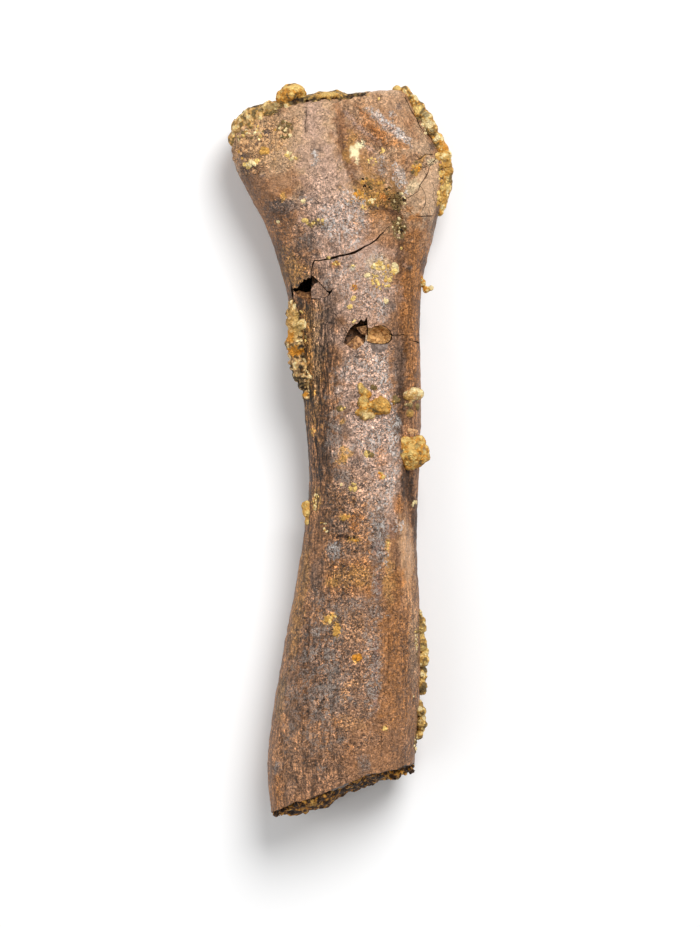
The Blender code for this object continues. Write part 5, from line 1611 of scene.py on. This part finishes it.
class FOSSIL_OT_bone(bpy.types.Operator):
    """Model the bone, with its relief, its breaks and its stains"""

    bl_idname = "fossil.bone"
    bl_label = "Bone"

    def execute(self, context):
        settings = context.scene.fossil_bone
        bone = copied_bone(settings)
        raise_relief(bone, settings)
        bone.data.materials.append(bone_finish(settings))
        broken = {kind: fracture_finish("bone_fracture_" + kind, *pair) for kind, pair in FRACTURES.items()}
        surface = surface_of(bone)
        cutters = {name: (break_cutter(cut), broken[cut.finish]) for name, cut in BREAKS.items()}
        cutters["marrow"] = (ball_cutter(**MARROW), broken["dark"])
        cutters["bowl"] = (ball_cutter(**PIT_BOWL), broken["amber"])
        cutters |= {name: (crack_cutter(crack, surface), broken["crack"]) for name, crack in CRACKS.items()}
        cutters["end"] = (end_cutter(), broken["dark"])
        cut_all(bone, cutters)
        points, facing = places(bone), normals(bone)
        hold(bone, "tint", painted(points, facing, palette_of(settings), "brown", STAINS))
        hold(bone, "fibre", fibrous(points, facing))
        for kind, strength in laid(points, facing, MARKS).items():
            hold(bone, kind, strength)
        only(bone)
        bpy.ops.object.shade_smooth_by_angle(angle=SMOOTH_ANGLE)
        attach(bone, BODY)
        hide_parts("bone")
        return {"FINISHED"}


class FOSSIL_OT_flakes(bpy.types.Operator):
    """Model the loose chip of bone and the shards in the pit"""

    bl_idname = "fossil.flakes"
    bl_label = "Flakes"

    def execute(self, context):
        settings = context.scene.fossil_bone
        chip = make_flake("chip_flake", CHIP)
        points = places(chip)
        tint = 0.4 * np.array(settings.pink) + 0.6 * np.array(settings.rose)
        hold(chip, "tint", np.tile(tint, (len(points), 1)))
        for kind in HELD:
            hold(chip, kind, np.full(len(points), 0.5 if kind == "specks" else 0.1))
        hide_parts("cortex_chip")
        for name, flake in SHARDS.items():
            make_flake(name, flake)
        return {"FINISHED"}


class FOSSIL_OT_rock(bpy.types.Operator):
    """Model the lumps and crusts of rock that are cemented to the bone, and the loose grains"""

    bl_idname = "fossil.rock"
    bl_label = "Cemented rock"

    def execute(self, context):
        settings = context.scene.fossil_rock
        surface = surface_of(bpy.data.objects["fossil_bone"])
        rng = np.random.default_rng(7)
        rock_finish(settings)
        for name, lump in LUMPS.items():
            make_lump(name, lump, surface, settings, rng)
        end = end_places(rng, surface, END_CRUST.count)
        make_end_rock("matrix_end_crust", end, END_CRUST, settings, rng)
        fill = break_places(rng, BREAK_FILL.count)
        make_end_rock("matrix_break_fill", fill, BREAK_FILL, settings, rng)
        make_grains(surface, settings, rng)
        return {"FINISHED"}


class FOSSIL_OT_stage(bpy.types.Operator):
    """Set the floor, the lights and the camera"""

    bl_idname = "fossil.stage"
    bl_label = "Stage"

    def execute(self, context):
        settings = context.scene.fossil_stage
        bpy.ops.object.select_all(action="DESELECT")
        bpy.ops.mesh.primitive_plane_add(size=FLOOR_SIZE, location=(0, 0, 0))
        floor = context.active_object
        floor.name = "floor"
        finish = Finish("floor_paper")
        floor.data.materials.append(finish.surface(tuple(settings.floor), 0.9, None, 0.2))
        self.light("key_light", *KEY_LIGHT, settings.key)
        self.light("fill_light", *FILL_LIGHT, settings.fill)
        world = bpy.data.worlds.new("soft_sky")
        world.use_nodes = True
        world.node_tree.nodes["Background"].inputs["Color"].default_value = (1, 1, 1, 1)
        world.node_tree.nodes["Background"].inputs["Strength"].default_value = settings.sky
        context.scene.world = world
        context.scene.view_settings.view_transform = "Standard"
        self.camera(settings)
        return {"FINISHED"}

    def light(self, name, place, size, power):
        data = bpy.data.lights.new(name, "AREA")
        data.shape = "DISK"
        data.size = size
        data.energy = power
        lamp = bpy.data.objects.new(name, data)
        lamp.location = place
        lamp.rotation_euler = Vector(place).to_track_quat("Z", "Y").to_euler()
        bpy.context.scene.collection.objects.link(lamp)

    def camera(self, settings):
        data = bpy.data.cameras.new("camera")
        data.sensor_width = 36
        data.lens = data.sensor_width * (settings.camera_height - MIDDLE_HEIGHT * MM) / settings.frame_height
        data.clip_start, data.clip_end = 0.05, 10
        camera = bpy.data.objects.new("camera", data)
        camera.location = (*(c * MM for c in CAMERA_PLACE), settings.camera_height)
        bpy.context.scene.collection.objects.link(camera)
        bpy.context.scene.camera = camera


class FOSSIL_PT_panel(bpy.types.Panel):
    """The steps of the model and their settings"""

    bl_label = "Fossil limb bone"
    bl_idname = "FOSSIL_PT_panel"
    bl_space_type = "VIEW_3D"
    bl_region_type = "UI"
    bl_category = "Fossil"

    def draw(self, context):
        for step in STEPS:
            self.layout.operator(step.bl_idname)
        for group in ("fossil_bone", "fossil_rock", "fossil_stage"):
            settings = getattr(context.scene, group)
            box = self.layout.box()
            for name in settings.__annotations__:
                box.prop(settings, name)


STEPS = (FOSSIL_OT_bone, FOSSIL_OT_flakes, FOSSIL_OT_rock, FOSSIL_OT_stage)
GROUPS = {"fossil_bone": BoneSettings, "fossil_rock": RockSettings, "fossil_stage": StageSettings}


def register():
    for group in GROUPS.values():
        bpy.utils.register_class(group)
    for name, group in GROUPS.items():
        setattr(bpy.types.Scene, name, bpy.props.PointerProperty(type=group))
    for kind in (*STEPS, FOSSIL_PT_panel):
        bpy.utils.register_class(kind)


def unregister():
    for kind in (FOSSIL_PT_panel, *STEPS):
        bpy.utils.unregister_class(kind)
    for name, group in GROUPS.items():
        delattr(bpy.types.Scene, name)
        bpy.utils.unregister_class(group)


def main():
    register()
    bpy.ops.fossil.bone()
    bpy.ops.fossil.flakes()
    bpy.ops.fossil.rock()
    bpy.ops.fossil.stage()


if __name__ == "__main__":
    main()
